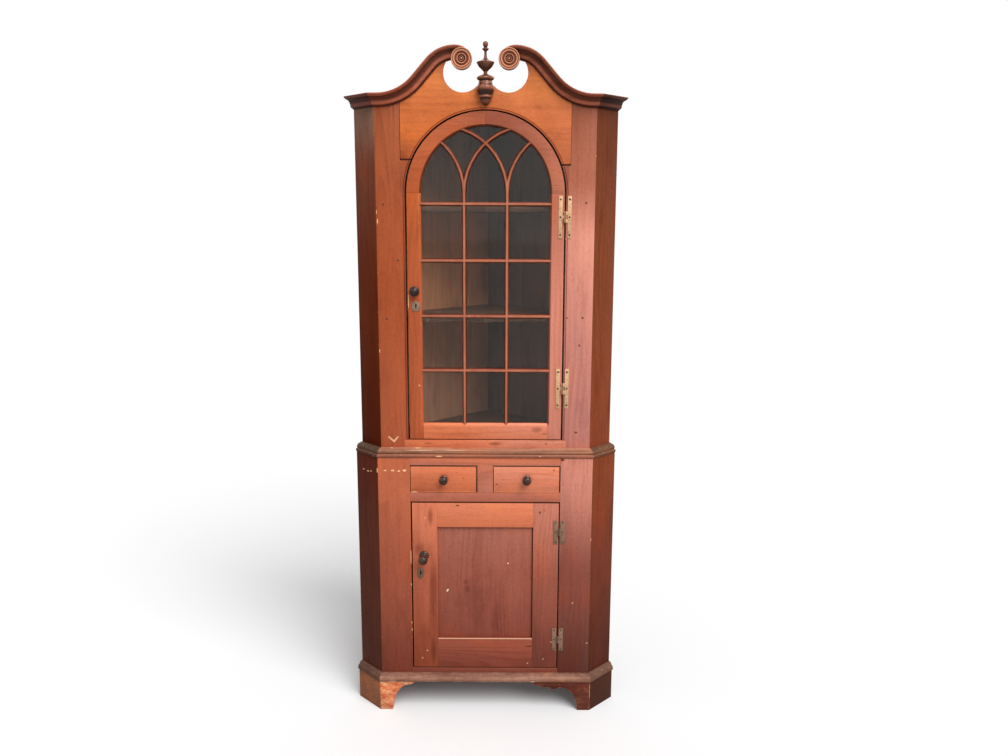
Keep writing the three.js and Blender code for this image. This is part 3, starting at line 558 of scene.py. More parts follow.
STREAKS = Cloud(0.05, 90.0, 3.0, 0.6)
PORES = Cloud(0.09, 380.0, 2.0)
FIBRES = Cloud(0.02, 1200.0, 2.0)
BLOTCHES = Cloud(0.4, 10.0, 5.0, 0.6)
MOTTLE = Cloud(1.0, 105.0, 6.0, 0.72)
FLECKS = Cloud(0.5, 80.0, 4.0, 0.62)
WEAR = Cloud(1.0, 55.0, 5.0, 0.65)
SCUFFS = Cloud(0.16, 120.0, 6.0, 0.75)
PLAIN_PATCHES = Cloud(0.2, 16.0, 3.0)
SWAY = Cloud(0.3, 5.0, 1.0)

LATE_WOOD = tone(150, 95, 80)
THICK_STAIN = tone(185, 140, 125)
DARK_BLOTCH = tone(150, 105, 100)
LIGHT_BLOTCH = tone(255, 205, 165)
DARK_PORE = tone(130, 80, 70)
PALE_FILM_AND_SHEEN = tone(236, 178, 168)
DARK_GRIT = tone(130, 90, 80)
LIGHT_MOTTLE = tone(255, 225, 205)
DARK_MOTTLE = tone(175, 125, 110)
DARK_FLECK = tone(200, 110, 95)


@dataclass(frozen=True)
class Plank:
    """A board's material as it is made: its nodes, the board, and the way its grain runs."""

    graph: Graph
    board: Board
    grain: Grain

    def draw(self, cloud: Cloud, move: float = 5.0) -> Value:
        """Draws a cloudy pattern, moved by so many times the board's own place."""
        place = self.graph.moved(self.graph.place, self.grain.stretch(cloud.along), self.board.middle * move)
        return self.graph.noise(place, cloud.scale, cloud.detail, cloud.rough)

    def within(self, skin: float) -> Value:
        """Returns 1 within the skin of the board's front and 0 behind it.

        Args:
            skin: How deep the skin goes.

        Returns:
            The value.
        """
        inputs = {0: self.graph.place, 1: self.board.ahead}
        along = self.graph.add("ShaderNodeVectorMath", inputs, operation="DOT_PRODUCT")
        deep = self.board.front - skin
        return Value(self.graph, along.outputs["Value"]).rise(deep - MM, deep)

    def inside(self, places: Iterable[Spot], ragged: Amount, inner: float, outer: float) -> Value:
        """Finds where spots lie.

        Args:
            places: The spots.
            ragged: A value about 0.5 that frets their edges.
            inner: Where they start to fade.
            outer: Where they have gone.

        Returns:
            A value that is 1 inside the spots and 0 outside them.
        """
        across, _, up = self.graph.split()
        found: Amount = 0.0
        for spot in places:
            right, above = (across - spot.across) / spot.half_width, (up - spot.up) / spot.half_height
            fretted = right * right + above * above + ragged * 2.0
            found = fretted.fall(inner + 1, outer + 1).most(found)
        return found

    def late_wood(self, ring: float) -> Value:
        """Draws the late wood of a board sawn from beside the heart of a log.

        Args:
            ring: How far apart the rings lie.

        Returns:
            A value that is 1 in the late wood and 0 between.
        """
        graph, board = self.graph, self.board
        dice = random.Random(board.name)
        heart = board.facing * dice.uniform(0.06, 0.11) + Vector((dice.uniform(-0.03, 0.03), 0, 0))
        stretch = Vector(self.grain.stretch(0.06))
        log = graph.moved(graph.place, stretch, heart - board.middle * stretch)
        sway = self.draw(SWAY, dice.uniform(3, 9)).socket.node.outputs["Color"]
        swayed = {0: sway, 1: (0.07, 0.07, 0.07), 2: log}
        bend = graph.add("ShaderNodeVectorMath", swayed, operation="MULTIPLY_ADD")
        rings = graph.add(
            "ShaderNodeTexWave",
            {
                "Vector": bend.outputs[0],
                "Scale": 0.314 / ring,
                "Distortion": 1.2,
                "Detail": 3.0,
                "Detail Scale": 1.5,
            },
            wave_type="RINGS",
            rings_direction=self.grain.value,
            wave_profile="SAW",
        )
        shown = self.draw(PLAIN_PATCHES, 7).rise(0.36, 0.66)
        return Value(graph, rings.outputs["Fac"]).rise(0.35, 0.95) * shown


@dataclass(frozen=True)
class Pine:
    """Old pine under a worn, stained finish.

    Its tones run from the board's lowest end to its highest, and pass to the right ones across a passage in
    the middle; the pinker right ones are a painted sheen. Figure is how strongly the late wood shows, ring
    how far apart it lies, blotch how uneven the stain is, mottle how uneven it is close to, flecks how much
    raw and dark wood shows in specks, bloom how much pale film and painted sheen lies on it, and scuffs how
    much is rubbed bare along the grain. Chips show fresh wood, knots are dark, seams are the black lines of
    open joints and painted shade in gaps, rubs are arrises where the stain has gone thin, and smudges are
    soft dark patches of handling and of painted shade. All of them lie within skin of the board's front. The
    cants, members and arch paint shade and highlight by the shape of the piece.
    """

    tones: Stops
    low: float
    high: float
    right: Stops = ()
    passage: float = 0.2
    figure: float = 0.2
    ring: float = 9 * MM
    blotch: float = 0.35
    mottle: float = 0.2
    flecks: float = 0.0
    film_and_sheen: float = 0.0
    scuffs: float = 0.0
    gloss: float = 0.45
    shine: float = 0.16
    # Painted shade and highlight, laid by the shape of the piece.
    cant_shade: CantShade | None = None
    members: MemberShade | None = None
    arch: ArchShade | None = None
    chips: tuple[Spot, ...] = ()
    knots: tuple[Spot, ...] = ()
    joints_and_gap_shade: tuple[Spot, ...] = ()
    rubs: tuple[Spot, ...] = ()
    smudges_and_shade: tuple[Spot, ...] = ()
    raw: Tone = tone(226, 160, 112)
    fresh: Tone = tone(254, 202, 146)
    skin: float = 4 * MM
    bare_rough: float = 0.25

    def stained(self, plank: Plank) -> Socket:
        """Lays the stain, with its flecks, its painted sheen on the right, and the shade and highlight that
        the shape of the piece paints on it.

        Args:
            plank: The board's material.

        Returns:
            The stain's colour.
        """
        graph = plank.graph
        across, _, up = graph.split()
        share = (up - self.low) / (self.high - self.low)
        stain = graph.ramp(share, self.tones)
        # Pinker tones on the right: a painted sheen.
        if self.right:
            passed = across.rise(-self.passage, self.passage)
            stain = graph.mix(passed, stain, graph.ramp(share, self.right))
        if self.flecks:
            patches = plank.draw(FLECKS)
            stain = graph.mix(patches.rise(0.5, 0.64, self.flecks), stain, self.raw)
            stain = graph.mix(patches.fall(0.36, 0.5, self.flecks), stain, DARK_FLECK, Blend.DARKEN)
        # Paints shade and highlight by the shape of the piece.
        for shape in (self.cant_shade, self.members, self.arch):
            if shape:
                stain = shape.tint(graph, stain)
        return stain

    def coats(self, plank: Plank, late: Value, clouds: Value, grit: Value) -> list[tuple[Value, Tone, Blend]]:
        """Lists what shows through the stain or lies on it, from the wood up.

        Args:
            plank: The board's material.
            late: Where the late wood is.
            clouds: How the stain gathered.
            grit: Where the grit lies.

        Returns:
            The share, the tint and the way of lying of each coat.
        """
        streaks, pores, mottle = plank.draw(STREAKS), plank.draw(PORES), plank.draw(MOTTLE)
        # Pale film, which also lays a painted sheen.
        film = [(clouds.rise(0.3, 0.7, self.film_and_sheen), PALE_FILM_AND_SHEEN, Blend.OVER)] if self.film_and_sheen else []
        return [
            (late * self.figure, LATE_WOOD, Blend.DARKEN),
            (streaks.rise(0.42, 0.75, self.figure), THICK_STAIN, Blend.DARKEN),
            (clouds.rise(0.5, 0.76, self.blotch), DARK_BLOTCH, Blend.DARKEN),
            (clouds.fall(0.26, 0.5, self.blotch), LIGHT_BLOTCH, Blend.SOFTEN),
            (pores.rise(0.62, 0.8, 0.4), DARK_PORE, Blend.DARKEN),
            *film,
            (grit.rise(0.6, 0.8, 0.3), DARK_GRIT, Blend.DARKEN),
            (mottle.rise(0.5, 0.7, self.mottle), LIGHT_MOTTLE, Blend.SOFTEN),
            (mottle.fall(0.3, 0.5, self.mottle), DARK_MOTTLE, Blend.DARKEN),
        ]

    def bared(self, plank: Plank, worn: float) -> Value:
        """Finds where the stain has gone.

        Args:
            plank: The board's material.
            worn: The share of the stain that is rubbed off.

        Returns:
            A value that is 1 on bare wood.
        """
        bare = plank.draw(WEAR).rise(0.78 - 0.4 * worn, 0.84 - 0.4 * worn) if worn else 0.0
        if self.scuffs:
            bare = plank.draw(SCUFFS).rise(0.66, 0.74, self.scuffs).most(bare)
        return bare

    def material(self, name: str, grain: Grain, board: Board, worn: float = 0.0) -> bpy.types.Material:
        """Makes the finish for one board.

        Args:
            name: The material's name.
            grain: The way the grain runs.
            board: The board, which picks its own place in the log.
            worn: The share of the stain that is rubbed off, for the eased arrises.

        Returns:
            The material.
        """
        graph = Graph.named(name)
        plank = Plank(graph, board, grain)
        late, clouds = plank.late_wood(self.ring), plank.draw(BLOTCHES)
        grit = graph.noise(graph.place, 300.0, 4.0, 0.7)
        stain = self.stained(plank)
        for share, tint, blend in self.coats(plank, late, clouds, grit):
            stain = graph.mix(share, stain, tint, blend)
        near = plank.within(self.skin)
        # Seams and smudges lay painted shade as well as dark joints and handling marks.
        marks = ((self.rubs, RUB), (self.smudges_and_shade, SMUDGE_AND_SHADE), (self.knots, KNOT), (self.joints_and_gap_shade, JOINT_AND_GAP_SHADE))
        for places, mark in marks:
            if places:
                inside = plank.inside(places, clouds if mark.frayed else 0.5, mark.inner, mark.outer)
                stain = graph.mix(inside * near * mark.strength, stain, mark.tint, mark.blend)
        rough = clouds * 0.22 + (self.gloss - 0.1)
        if worn or self.scuffs:
            bare = self.bared(plank, worn)
            stain = graph.mix(bare, graph.mix(0.25 * worn, stain, self.raw), self.raw)
            rough = rough + bare * self.bare_rough
        if self.chips:
            chipped = plank.inside(self.chips, grit, 0.6, 1.1) * near
            stain = graph.mix(chipped, stain, self.fresh)
            rough = rough + chipped * self.bare_rough
        relief = plank.draw(FIBRES) - late * 0.6 + grit * 0.4
        return graph.finish(
            Base_Color=stain,
            Roughness=rough,
            Normal=graph.bump(relief, 0.22, 0.35 * MM),
            Specular_IOR_Level=self.shine,
        )


@dataclass(frozen=True)
class Turned:
    """Stained wood off the lathe, rubbed in patches; some turnings also take painted shade and highlight.

    Where it is turned to face forward, ridge is how far forward its ridges stand and groove how far back its
    grooves lie; it is painted dark in the grooves and light on the ridges, as painted shade and highlight. On
    an upright turning the bands paint its light and shade at each height, from low to high.
    """

    dark: Tone = tone(48, 27, 20)
    rubbed: Tone = tone(118, 76, 56)
    rough: float = 0.26
    rub: float = 0.35
    polish: float = 0.8
    ridge: float = 0.0
    groove: float = 0.0
    low: float = 0.0
    high: float = 1.0
    painted_light_bands: Stops = ()
    ring_tint: Tone = tone(120, 90, 80)

    def material(self, name: str) -> bpy.types.Material:
        """Makes the finish.

        Args:
            name: The material's name.

        Returns:
            The material.
        """
        graph = Graph.named(name)
        clouds = graph.noise(graph.place, 45.0, 3.0, 0.55)
        rings = graph.noise(graph.moved(graph.place, (0.2, 0.2, 1)), 400.0, 2.0)
        _, back, up = graph.split()
        share = clouds.rise(0.45, 0.75, self.rub)
        # Painted shade in the grooves and painted highlight on the ridges.
        if self.ridge < self.groove:
            share = (back + (clouds - 0.5) * (2 * MM)).rise(self.groove, self.ridge)
        stain = graph.mix(share, self.dark, self.rubbed)
        # Painted light and shade, band by band up the turning.
        if self.painted_light_bands:
            height = (up - self.low) / (self.high - self.low)
            stain = graph.mix(1.0, stain, graph.ramp(height, self.painted_light_bands), Blend.DARKEN)
        stain = graph.mix(rings.rise(0.5, 0.8, 0.25), stain, self.ring_tint, Blend.DARKEN)
        return graph.finish(
            Base_Color=stain,
            Roughness=clouds * 0.16 + (self.rough - 0.08),
            Normal=graph.bump(rings, 0.12, 0.3 * MM),
            Specular_IOR_Level=0.06,
            Coat_Weight=self.polish,
            Coat_Roughness=0.06,
        )


@dataclass(frozen=True)
class OldMetal:
    """Cast or sheet metal gone dull: its clean tone, its spotted tone and how metallic it still looks.

    A hinge is darkened along the middle of its barrel, at pin.
    """

    clean: Tone
    spotted: Tone
    metallic: float
    rough: float
    spots: float = 0.6
    pin: float | None = None
    barrel: float = 2.3 * MM
    barrel_dark: Tone = tone(58, 36, 27)

    def material(self, name: str) -> bpy.types.Material:
        """Makes the finish.

        Args:
            name: The material's name.

        Returns:
            The material.
        """
        graph = Graph.named(name)
        clouds = graph.noise(graph.place, 110.0, 5.0, 0.65)
        pits = graph.noise(graph.place, 700.0, 3.0, 0.6)
        colour = graph.mix(clouds.rise(0.48, 0.68, self.spots), self.clean, self.spotted)
        colour = graph.mix(pits.rise(0.58, 0.75, 0.5), colour, self.spotted)
        if self.pin is not None:
            away = abs(graph.split()[0] - self.pin)
            colour = graph.mix(away.fall(self.barrel / 2, self.barrel, 0.9), colour, self.barrel_dark)
        return graph.finish(
            Base_Color=colour,
            Metallic=self.metallic,
            Roughness=clouds * 0.3 + (self.rough - 0.15),
            Normal=graph.bump(pits, 0.3, 0.25 * MM),
        )


@dataclass(frozen=True)
class OldGlass:
    """Thin window glass with a faint film on it. It lets the lamps through, so what it shuts in is lit."""

    tint: Tone = tone(236, 236, 232)
    rough: float = 0.05
    bend: float = 1.36

    def material(self, name: str) -> bpy.types.Material:
        """Makes the finish.

        Args:
            name: The material's name.

        Returns:
            The material.
        """
        graph = Graph.named(name)
        film = graph.noise(graph.moved(graph.place, (1, 1, 0.6)), 14.0, 5.0, 0.65)
        rough = film.rise(0.35, 0.8, self.rough)
        inputs = {"Transmission Weight": 1.0, "IOR": self.bend, "Base Color": self.tint, "Roughness": rough}
        glass = graph.add("ShaderNodeBsdfPrincipled", inputs).outputs[0]
        clear = graph.add("ShaderNodeBsdfTransparent").outputs[0]
        shadow = graph.add("ShaderNodeLightPath").outputs["Is Shadow Ray"]
        both = graph.add("ShaderNodeMixShader", {0: shadow, 1: glass, 2: clear})
        graph.add("ShaderNodeOutputMaterial", {"Surface": both.outputs[0]})
        return graph.owner


@dataclass(frozen=True)
class Shadowed:
    """Painted shadow: a dark piece that stands for the inside of a keyhole."""

    colour: Tone = tone(16, 11, 9)
    paler_shadow: Tone = tone(34, 22, 16)

    def material(self, name: str) -> bpy.types.Material:
        """Makes the finish.

        Args:
            name: The material's name.

        Returns:
            The material.
        """
        graph = Graph.named(name)
        share = graph.noise(graph.place, 500.0, 3.0, 0.6).rise(0.4, 0.7)
        colour = graph.mix(share, self.colour, self.paler_shadow)
        return graph.finish(Base_Color=colour, Roughness=0.9, Specular_IOR_Level=0.1)


class Slot(Enum):
    """The material slots of the record."""

    UPPER_CASE = "upper_case_pine"
    ORANGE = "orange_pine"
    LOWER_CASE = "lower_case_pine"
    DARK_MOULDING = "dark_moulding"
    WORN_MOULDING = "worn_moulding"
    BARE_BOARD = "bare_board"
    TURNED = "dark_turning"
    BRASS = "old_brass"
    IRON = "old_iron"
    GLASS = "old_glass"


def rounded(shares: Sequence[Share], steps: int = 3, pull: float = 0.35) -> list[Share]:
    """Draws a smooth curve through an outline's points.

    Args:
        shares: The outline's points.
        steps: Points for each stretch.
        pull: How strongly each point's neighbours set the curve's direction there.

    Returns:
        The finer outline, which still goes through each point.
    """
    points = [Vector(share) for share in shares]
    fine: list[Share] = []
    for at in range(len(points) - 1):
        before, start, end = points[max(at - 1, 0)], points[at], points[at + 1]
        after = points[min(at + 2, len(points) - 1)]
        for step in range(steps):
            t = step / steps
            leave, arrive = (end - before) * pull, (after - start) * pull
            place = (
                (2 * t**3 - 3 * t**2 + 1) * start
                + (t**3 - 2 * t**2 + t) * leave
                + (3 * t**2 - 2 * t**3) * end
                + (t**3 - t**2) * arrive
            )
            fine.append((place.x, place.y))
    fine.append(tuple(points[-1]))
    return fine


@dataclass(frozen=True)
class Bench:
    """The frame on the bench: its nodes, the body each one rides on, and the work done to copies of them."""

    nodes: dict[str, Piece]
    body_of: dict[str, str]

    @classmethod
    def from_frame(cls, frame: dict) -> Bench:
        """Reads the frame's nodes and bodies."""
        bodies = frame["record"]["behaviour"]["bodies"]
        return cls(frame["nodes"], {node: body for body, nodes in bodies.items() for node in nodes})

    @staticmethod
    def only(piece: Piece) -> None:
        """Leaves just this piece selected and active.

        Args:
            piece: The piece.
        """
        bpy.ops.object.select_all(action="DESELECT")
        piece.select_set(True)
        bpy.context.view_layer.objects.active = piece

    @contextmanager
    def editing(self, piece: Piece) -> Iterator[None]:
        """Opens a piece for editing with all of it selected, and closes it after.

        Args:
            piece: The piece.
        """
        self.only(piece)
        bpy.ops.object.mode_set(mode="EDIT")
        bpy.ops.mesh.select_all(action="SELECT")
        yield
        bpy.ops.object.mode_set(mode="OBJECT")

    def box(self, node: str) -> tuple[Vector, Vector]:
        """Returns a node's lowest and highest corners."""
        low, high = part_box(node)
        return Vector(low), Vector(high)

    def middle(self, node: str) -> Vector:
        """Returns the middle of a node's box."""
        low, high = self.box(node)
        return (low + high) / 2

    def copy(self, node: str, name: str) -> Piece:
        """Copies a node and merges it into whole faces.

        Args:
            node: The frame's node.
            name: The copy's name.

        Returns:
            The copy.
        """
        piece = bpy.data.objects.new(name, self.nodes[node].data.copy())
        bpy.context.scene.collection.objects.link(piece)
        with self.editing(piece):
            bpy.ops.mesh.remove_doubles(threshold=0.005 * MM)
            bpy.ops.mesh.dissolve_limited(angle_limit=math.radians(0.3))
        return piece

    @staticmethod
    def paint(piece: Piece, *finishes: bpy.types.Material) -> None:
        """Gives a piece these finishes and no others.

        Args:
            piece: The piece.
            *finishes: The finishes, by slot.
        """
        piece.data.materials.clear()
        for finish in finishes:
            piece.data.materials.append(finish)

    def modify(self, piece: Piece, kind: str, **settings: object) -> None:
        """Adds a modifier, sets it and applies it.

        Args:
            piece: The piece.
            kind: The modifier's type.
            **settings: Its own settings.
        """
        self.only(piece)
        modifier = piece.modifiers.new(kind.lower(), kind)
        for name, value in settings.items():
            setattr(modifier, name, value)
        bpy.ops.object.modifier_apply(modifier=modifier.name)

    def ease(self, piece: Piece, width: float) -> None:
        """Rounds a piece's arrises and puts its second finish on them.

        Args:
            piece: The piece.
            width: The width of its eased arrises.
        """
        self.modify(
            piece,
            "BEVEL",
            width=width,
            segments=2,
            limit_method="ANGLE",
            angle_limit=math.radians(32),
            material=1 if len(piece.data.materials) > 1 else -1,
            use_clamp_overlap=True,
        )

    def smooth(self, piece: Piece, degrees: float = 32.0) -> None:
        """Shades a piece smooth wherever its faces meet at less than this angle."""
        self.only(piece)
        bpy.ops.object.shade_smooth_by_angle(angle=math.radians(degrees), keep_sharp_edges=False)

    def fit(self, piece: Piece, body: str, slot: Slot, *replaced: str) -> None:
        """Hangs a finished piece on its body.

        Args:
            piece: The piece, in place.
            body: The body it moves with.
            slot: The record's slot for its finish; not used.
            *replaced: The nodes it stands for.
        """
        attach(piece, body)
        if replaced:
            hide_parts(*replaced)
        LOG.info("%s rides on %s", piece.name, body)

    def replace(self, node: str, piece: Piece, slot: Slot) -> None:
        """Puts a finished piece in its node's place, on the node's body."""
        self.fit(piece, self.body_of[node], slot, node)

    def turn(self, name: str, outline: Sequence[Share], sides: int) -> Piece:
        """Turns a piece on the Z axis, a ring at a time.

        Args:
            name: The piece's name.
            outline: Radius and height of each ring, from one end to the other.
            sides: Facets round it.

        Returns:
            The closed piece.
        """
        radius, height = outline[0]
        bpy.ops.object.select_all(action="DESELECT")
        bpy.ops.mesh.primitive_circle_add(vertices=sides, radius=radius, fill_type="NGON", location=(0, 0, 0))
        piece = bpy.context.active_object
        piece.name = name
        piece.data.name = name
        piece.data.transform(Matrix.Translation((0, 0, height)))
        with self.editing(piece):
            for next_radius, next_height in outline[1:]:
                rise = {"value": (0, 0, next_height - height)}
                bpy.ops.mesh.extrude_region_move(TRANSFORM_OT_translate=rise)
                share = next_radius / radius
                bpy.ops.transform.resize(value=(share, share, 1), center_override=(0, 0, next_height))
                radius, height = next_radius, next_height
            bpy.ops.mesh.select_all(action="DESELECT")
            bpy.ops.mesh.select_mode(type="EDGE")
            bpy.ops.mesh.select_non_manifold()
            bpy.ops.mesh.edge_face_add()
            bpy.ops.mesh.select_all(action="SELECT")
            bpy.ops.mesh.normals_make_consistent(inside=False)
        return piece

    @contextmanager
    def picked(self, piece: Piece, kind: str, wanted: Callable[[object], bool]) -> Iterator[None]:
        """Opens a piece for editing with some of it selected, and closes it after.

        Args:
            piece: The piece.
            kind: VERT or FACE.
            wanted: Says whether a vertex or a face is selected.
        """
        with self.editing(piece):
            bpy.ops.mesh.select_mode(type=kind)
            bpy.ops.mesh.select_all(action="DESELECT")
        for part in piece.data.vertices if kind == "VERT" else piece.data.polygons:
            part.select = wanted(part)
        bpy.ops.object.mode_set(mode="EDIT")
        yield
        bpy.ops.object.mode_set(mode="OBJECT")

    def place(self, pattern: Piece, name: str, seat: Matrix) -> Piece:
        """Copies a pattern, with its own mesh, to where a piece sits.

        Args:
            pattern: The pattern.
            name: The piece's name.
            seat: Where it sits and how it is turned.

        Returns:
            The piece.
        """
        piece = bpy.data.objects.new(name, pattern.data.copy())
        piece.data.name = name
        piece.data.transform(seat)
        bpy.context.scene.collection.objects.link(piece)
        return piece

    def cut(self, piece: Piece, place: Sequence[float], normal: Sequence[float], **ends: bool) -> None:
        """Cuts a piece's faces along a plane.

        Args:
            piece: The piece.
            place: A place on the plane.
            normal: The way the plane looks.
            **ends: The cutting tool's settings for the two sides, which both stay without them.
        """
        with self.editing(piece):
            bpy.ops.mesh.bisect(plane_co=place, plane_no=normal, **ends)

    def join(self, pieces: Sequence[Piece], name: str) -> Piece:
        """Joins pieces into one object.

        Args:
            pieces: The pieces, of which the first takes in the rest.
            name: The joined object's name.

        Returns:
            The joined object.
        """
        bpy.ops.object.select_all(action="DESELECT")
        for piece in pieces:
            piece.select_set(True)
        bpy.context.view_layer.objects.active = pieces[0]
        bpy.ops.object.join()
        pieces[0].name = name
        return pieces[0]

    def board(
        self, node: str, finish: Pine, grain: Grain, slot: Slot, ease: float = ARRIS, worn: float = 0.4
    ) -> None:
        """Eases a copy of a board or moulding and gives it a stained face and rubbed arrises.

        Args:
            node: The frame's node.
            finish: Its finish.
            grain: The way its grain runs.
            slot: The record's slot for its finish.
            ease: The width of its eased arrises.
            worn: The share of them that is rubbed bare.
        """
        piece = self.copy(node, f"{node}_eased")
        board = Board.of(piece)
        face = finish.material(node, grain, board)
        self.paint(piece, face, finish.material(f"{node}_edge", grain, board, worn))
        self.ease(piece, ease)
        self.smooth(piece)
        self.replace(node, piece, slot)

    def turned(
        self,
        shares: Sequence[Share],
        finish: Turned,
        slot: Slot,
        *nodes: str,
        sides: int = 40,
        degrees: float = 45.0,
    ) -> None:
        """Turns one knob or rosette and puts a copy of it in each node's place, facing forward.

        Args:
            shares: Its outline, in shares of its radius and of its length.
            finish: Its finish.
            slot: The record's slot for its finish.
            *nodes: The frame's nodes.
            sides: Facets round it.
            degrees: The angle up to which it is shaded smooth.
        """
        low, high = self.box(nodes[0])
        radius, length = (high.z - low.z) / 2, high.y - low.y
        outline = [(share * radius, height * length) for share, height in rounded(shares)]
        pattern = self.turn("turned_pattern", outline, sides)
        self.smooth(pattern, degrees)
        for node in nodes:
            middle = self.middle(node)
            seat = Matrix.Translation((middle.x, self.box(node)[1].y, middle.z))
            piece = self.place(pattern, f"{node}_turned", seat @ TO_FRONT)
            self.paint(piece, finish.material(piece.name))
            self.replace(node, piece, slot)
        bpy.data.objects.remove(pattern)


@dataclass
class LowerCase:
    """The lower case: stiles, canted sides, rails, floor, base moulding and feet."""

    bench: Bench
    low: float = 0.13
    high: float = 0.905

    def build(self) -> None:
        """Dresses the case."""
        self.uprights()
        self.rails()
        self.base_moulding()
        self.feet()

    def uprights(self) -> None:
        """Dresses the stiles and the canted sides."""
        left_chips = spots(
            (-332, 858.6, 5, 2), (-307.5, 858.7, 6, 2.8), (-286.7, 856.5, 5, 2.4), (-268, 859, 6, 4),
            (-250.4, 556, 1.3, 27), (-250.6, 457, 1.6, 4), (-250.6, 318, 1, 5), (-250.6, 292, 1.1, 6),
        )
        side_chips = spots(
            (-383, 849, 4, 1.6), (-395, 845.5, 5, 1.8), (-412, 847.5, 4, 1.4), (-358.5, 858.7, 2, 9)
        )
        # The stiles darken towards the floor, partly as painted shade; the right stile's pink top is a
        # painted sheen, and the canted returns are painted darker as shade.
        finishes = {
            "lower_left_stile": Pine(
                stops((0.0, 131, 65, 47), (0.45, 165, 87, 64), (1.0, 198, 108, 74)),
                self.low,
                self.high,
                chips=left_chips,
            ),
            "lower_right_stile": Pine(
                stops((0.0, 98, 55, 46), (0.45, 142, 78, 65), (1.0, 222, 144, 124)),
                self.low,
                self.high,
                film_and_sheen=0.04,
                shine=0.08,
                chips=spots((298, 392, 2.2, 2.2), (350, 245, 2, 2.4), (356, 620, 1.2, 6)),
                knots=spots((255.7, 897.5, 9, 6)),
            ),
            "lower_left_return": Pine(
                stops((0.0, 98, 56, 44), (0.6, 100, 53, 41), (1.0, 95, 43, 30)),
                self.low,
                self.high,
                chips=side_chips,
                shine=0.03,
            ),
            "lower_right_return": Pine(
                stops((0.0, 91, 46, 34), (0.5, 118, 59, 43), (1.0, 133, 66, 40)),
                self.low,
                self.high,
                shine=0.05,
            ),
        }
        for node, finish in finishes.items():
            self.bench.board(node, finish, Grain.UP, Slot.LOWER_CASE, STILE_ARRIS)

    def rails(self) -> None:
        """Dresses the rails round the drawers and the floor."""
        frame = stops((0.0, 207, 127, 105), (0.75, 207, 126, 103), (1.0, 217, 122, 85))
        shelf = stops((0.0, 184, 108, 87), (1.0, 190, 111, 89))
        # Painted shade along the drawer shelf's lower edge, in the gap above the door.
        under = (Spot(0.0, self.bench.box("drawer_shelf")[0].z, ENDLESS, 2.6 * MM),)
        floor = stops((0.0, 124, 64, 50), (1.0, 132, 68, 53))
        finishes = {
            "drawer_frame": Pine(frame, 0.783, 0.905),
            "drawer_shelf": Pine(shelf, 0.75, 0.783, joints_and_gap_shade=under),
            "lower_floor": Pine(floor, 0.105, 0.15),
        }
        for node, finish in finishes.items():
            self.bench.board(node, finish, Grain.ACROSS, Slot.LOWER_CASE)

    def base_moulding(self) -> None:
        """Dresses the base moulding, which is rubbed nearly bare."""
        finish = Pine(
            stops((0.0, 140, 98, 80), (0.5, 158, 116, 97), (1.0, 128, 88, 72)),
            0.105,
            0.136,
            figure=0.45,
            blotch=0.6,
            scuffs=0.5,
            flecks=0.14,
            mottle=0.4,
            gloss=0.62,
            # Painted shade on the canted returns.
            cant_shade=lower_cant_shade(tone(108, 76, 62), tone(116, 84, 68)),
            chips=spots(
                (-315, 108, 12, 2), (-185, 107, 30, 1.8), (-95, 106.5, 30, 2.4), (-10, 107, 30, 1.8),
                (45, 106.5, 15, 2.6), (120, 107, 35, 1.8), (165, 108.5, 8, 2.6),
            ),
            raw=tone(214, 166, 138),
            fresh=tone(236, 200, 172),
            skin=40 * MM,
        )
        self.bench.board("base_moulding", finish, Grain.ACROSS, Slot.WORN_MOULDING, 0.7 * MM)

    def feet(self) -> None:
        """Dresses the bracket feet. The left one is raw and mottled."""
        # Both feet take painted shade on their canted returns.
        left = Pine(
            stops((0.0, 224, 143, 110), (1.0, 212, 128, 95)),
            0.0,
            0.1075,
            blotch=0.8,
            scuffs=0.5,
            flecks=0.6,
            mottle=0.5,
            gloss=0.65,
            cant_shade=lower_cant_shade(tone(154, 102, 74), tone(154, 102, 74)),
            raw=tone(250, 196, 150),
        )
        self.bench.board("left_bracket_foot", left, Grain.ACROSS, Slot.LOWER_CASE, STILE_ARRIS)
        right = Pine(
            stops((0.0, 113, 63, 51), (1.0, 104, 54, 43)),
            0.0,
            0.105,
            blotch=0.5,
            shine=0.06,
            flecks=0.12,
            cant_shade=lower_cant_shade(tone(76, 44, 34), tone(76, 44, 34)),
            raw=tone(196, 140, 112),
        )
        self.bench.board("right_bracket_foot", right, Grain.ACROSS, Slot.LOWER_CASE, STILE_ARRIS, worn=0.8)


@dataclass
class Waist:
    """The board and the moulding between the two cases."""

    bench: Bench

    def build(self) -> None:
        """Dresses both."""
        # Both pieces take painted shade on their canted returns.
        board = Pine(
            stops((0.0, 148, 92, 74), (1.0, 158, 100, 80)),
            0.9035,
            0.915,
            blotch=0.5,
            gloss=0.55,
            scuffs=0.4,
            cant_shade=lower_cant_shade(tone(84, 52, 42), tone(112, 70, 52)),
            chips=spots((-151.9, 909, 11, 2), (181.5, 909.7, 4, 1)),
            skin=8 * MM,
        )
        self.bench.board("waist_board", board, Grain.ACROSS, Slot.WORN_MOULDING, 3.5 * MM)
        moulding = Pine(
            stops((0.0, 112, 76, 58), (0.35, 160, 112, 86), (1.0, 192, 136, 108)),
            0.915,
            0.933,
            blotch=0.6,
            figure=0.4,
            scuffs=0.8,
            flecks=0.08,
            gloss=0.6,
            cant_shade=lower_cant_shade(tone(92, 70, 54), tone(112, 80, 60)),
            chips=spots(
                (-311, 931.5, 4, 0.8), (-225, 931.5, 12, 0.8), (-215, 926.5, 52, 0.7), (-100, 926.5, 34, 0.6)
            ),
            raw=tone(222, 176, 140),
            fresh=tone(234, 196, 158),
            skin=40 * MM,
        )
        self.bench.board("waist_moulding", moulding, Grain.ACROSS, Slot.WORN_MOULDING, 0.6 * MM)


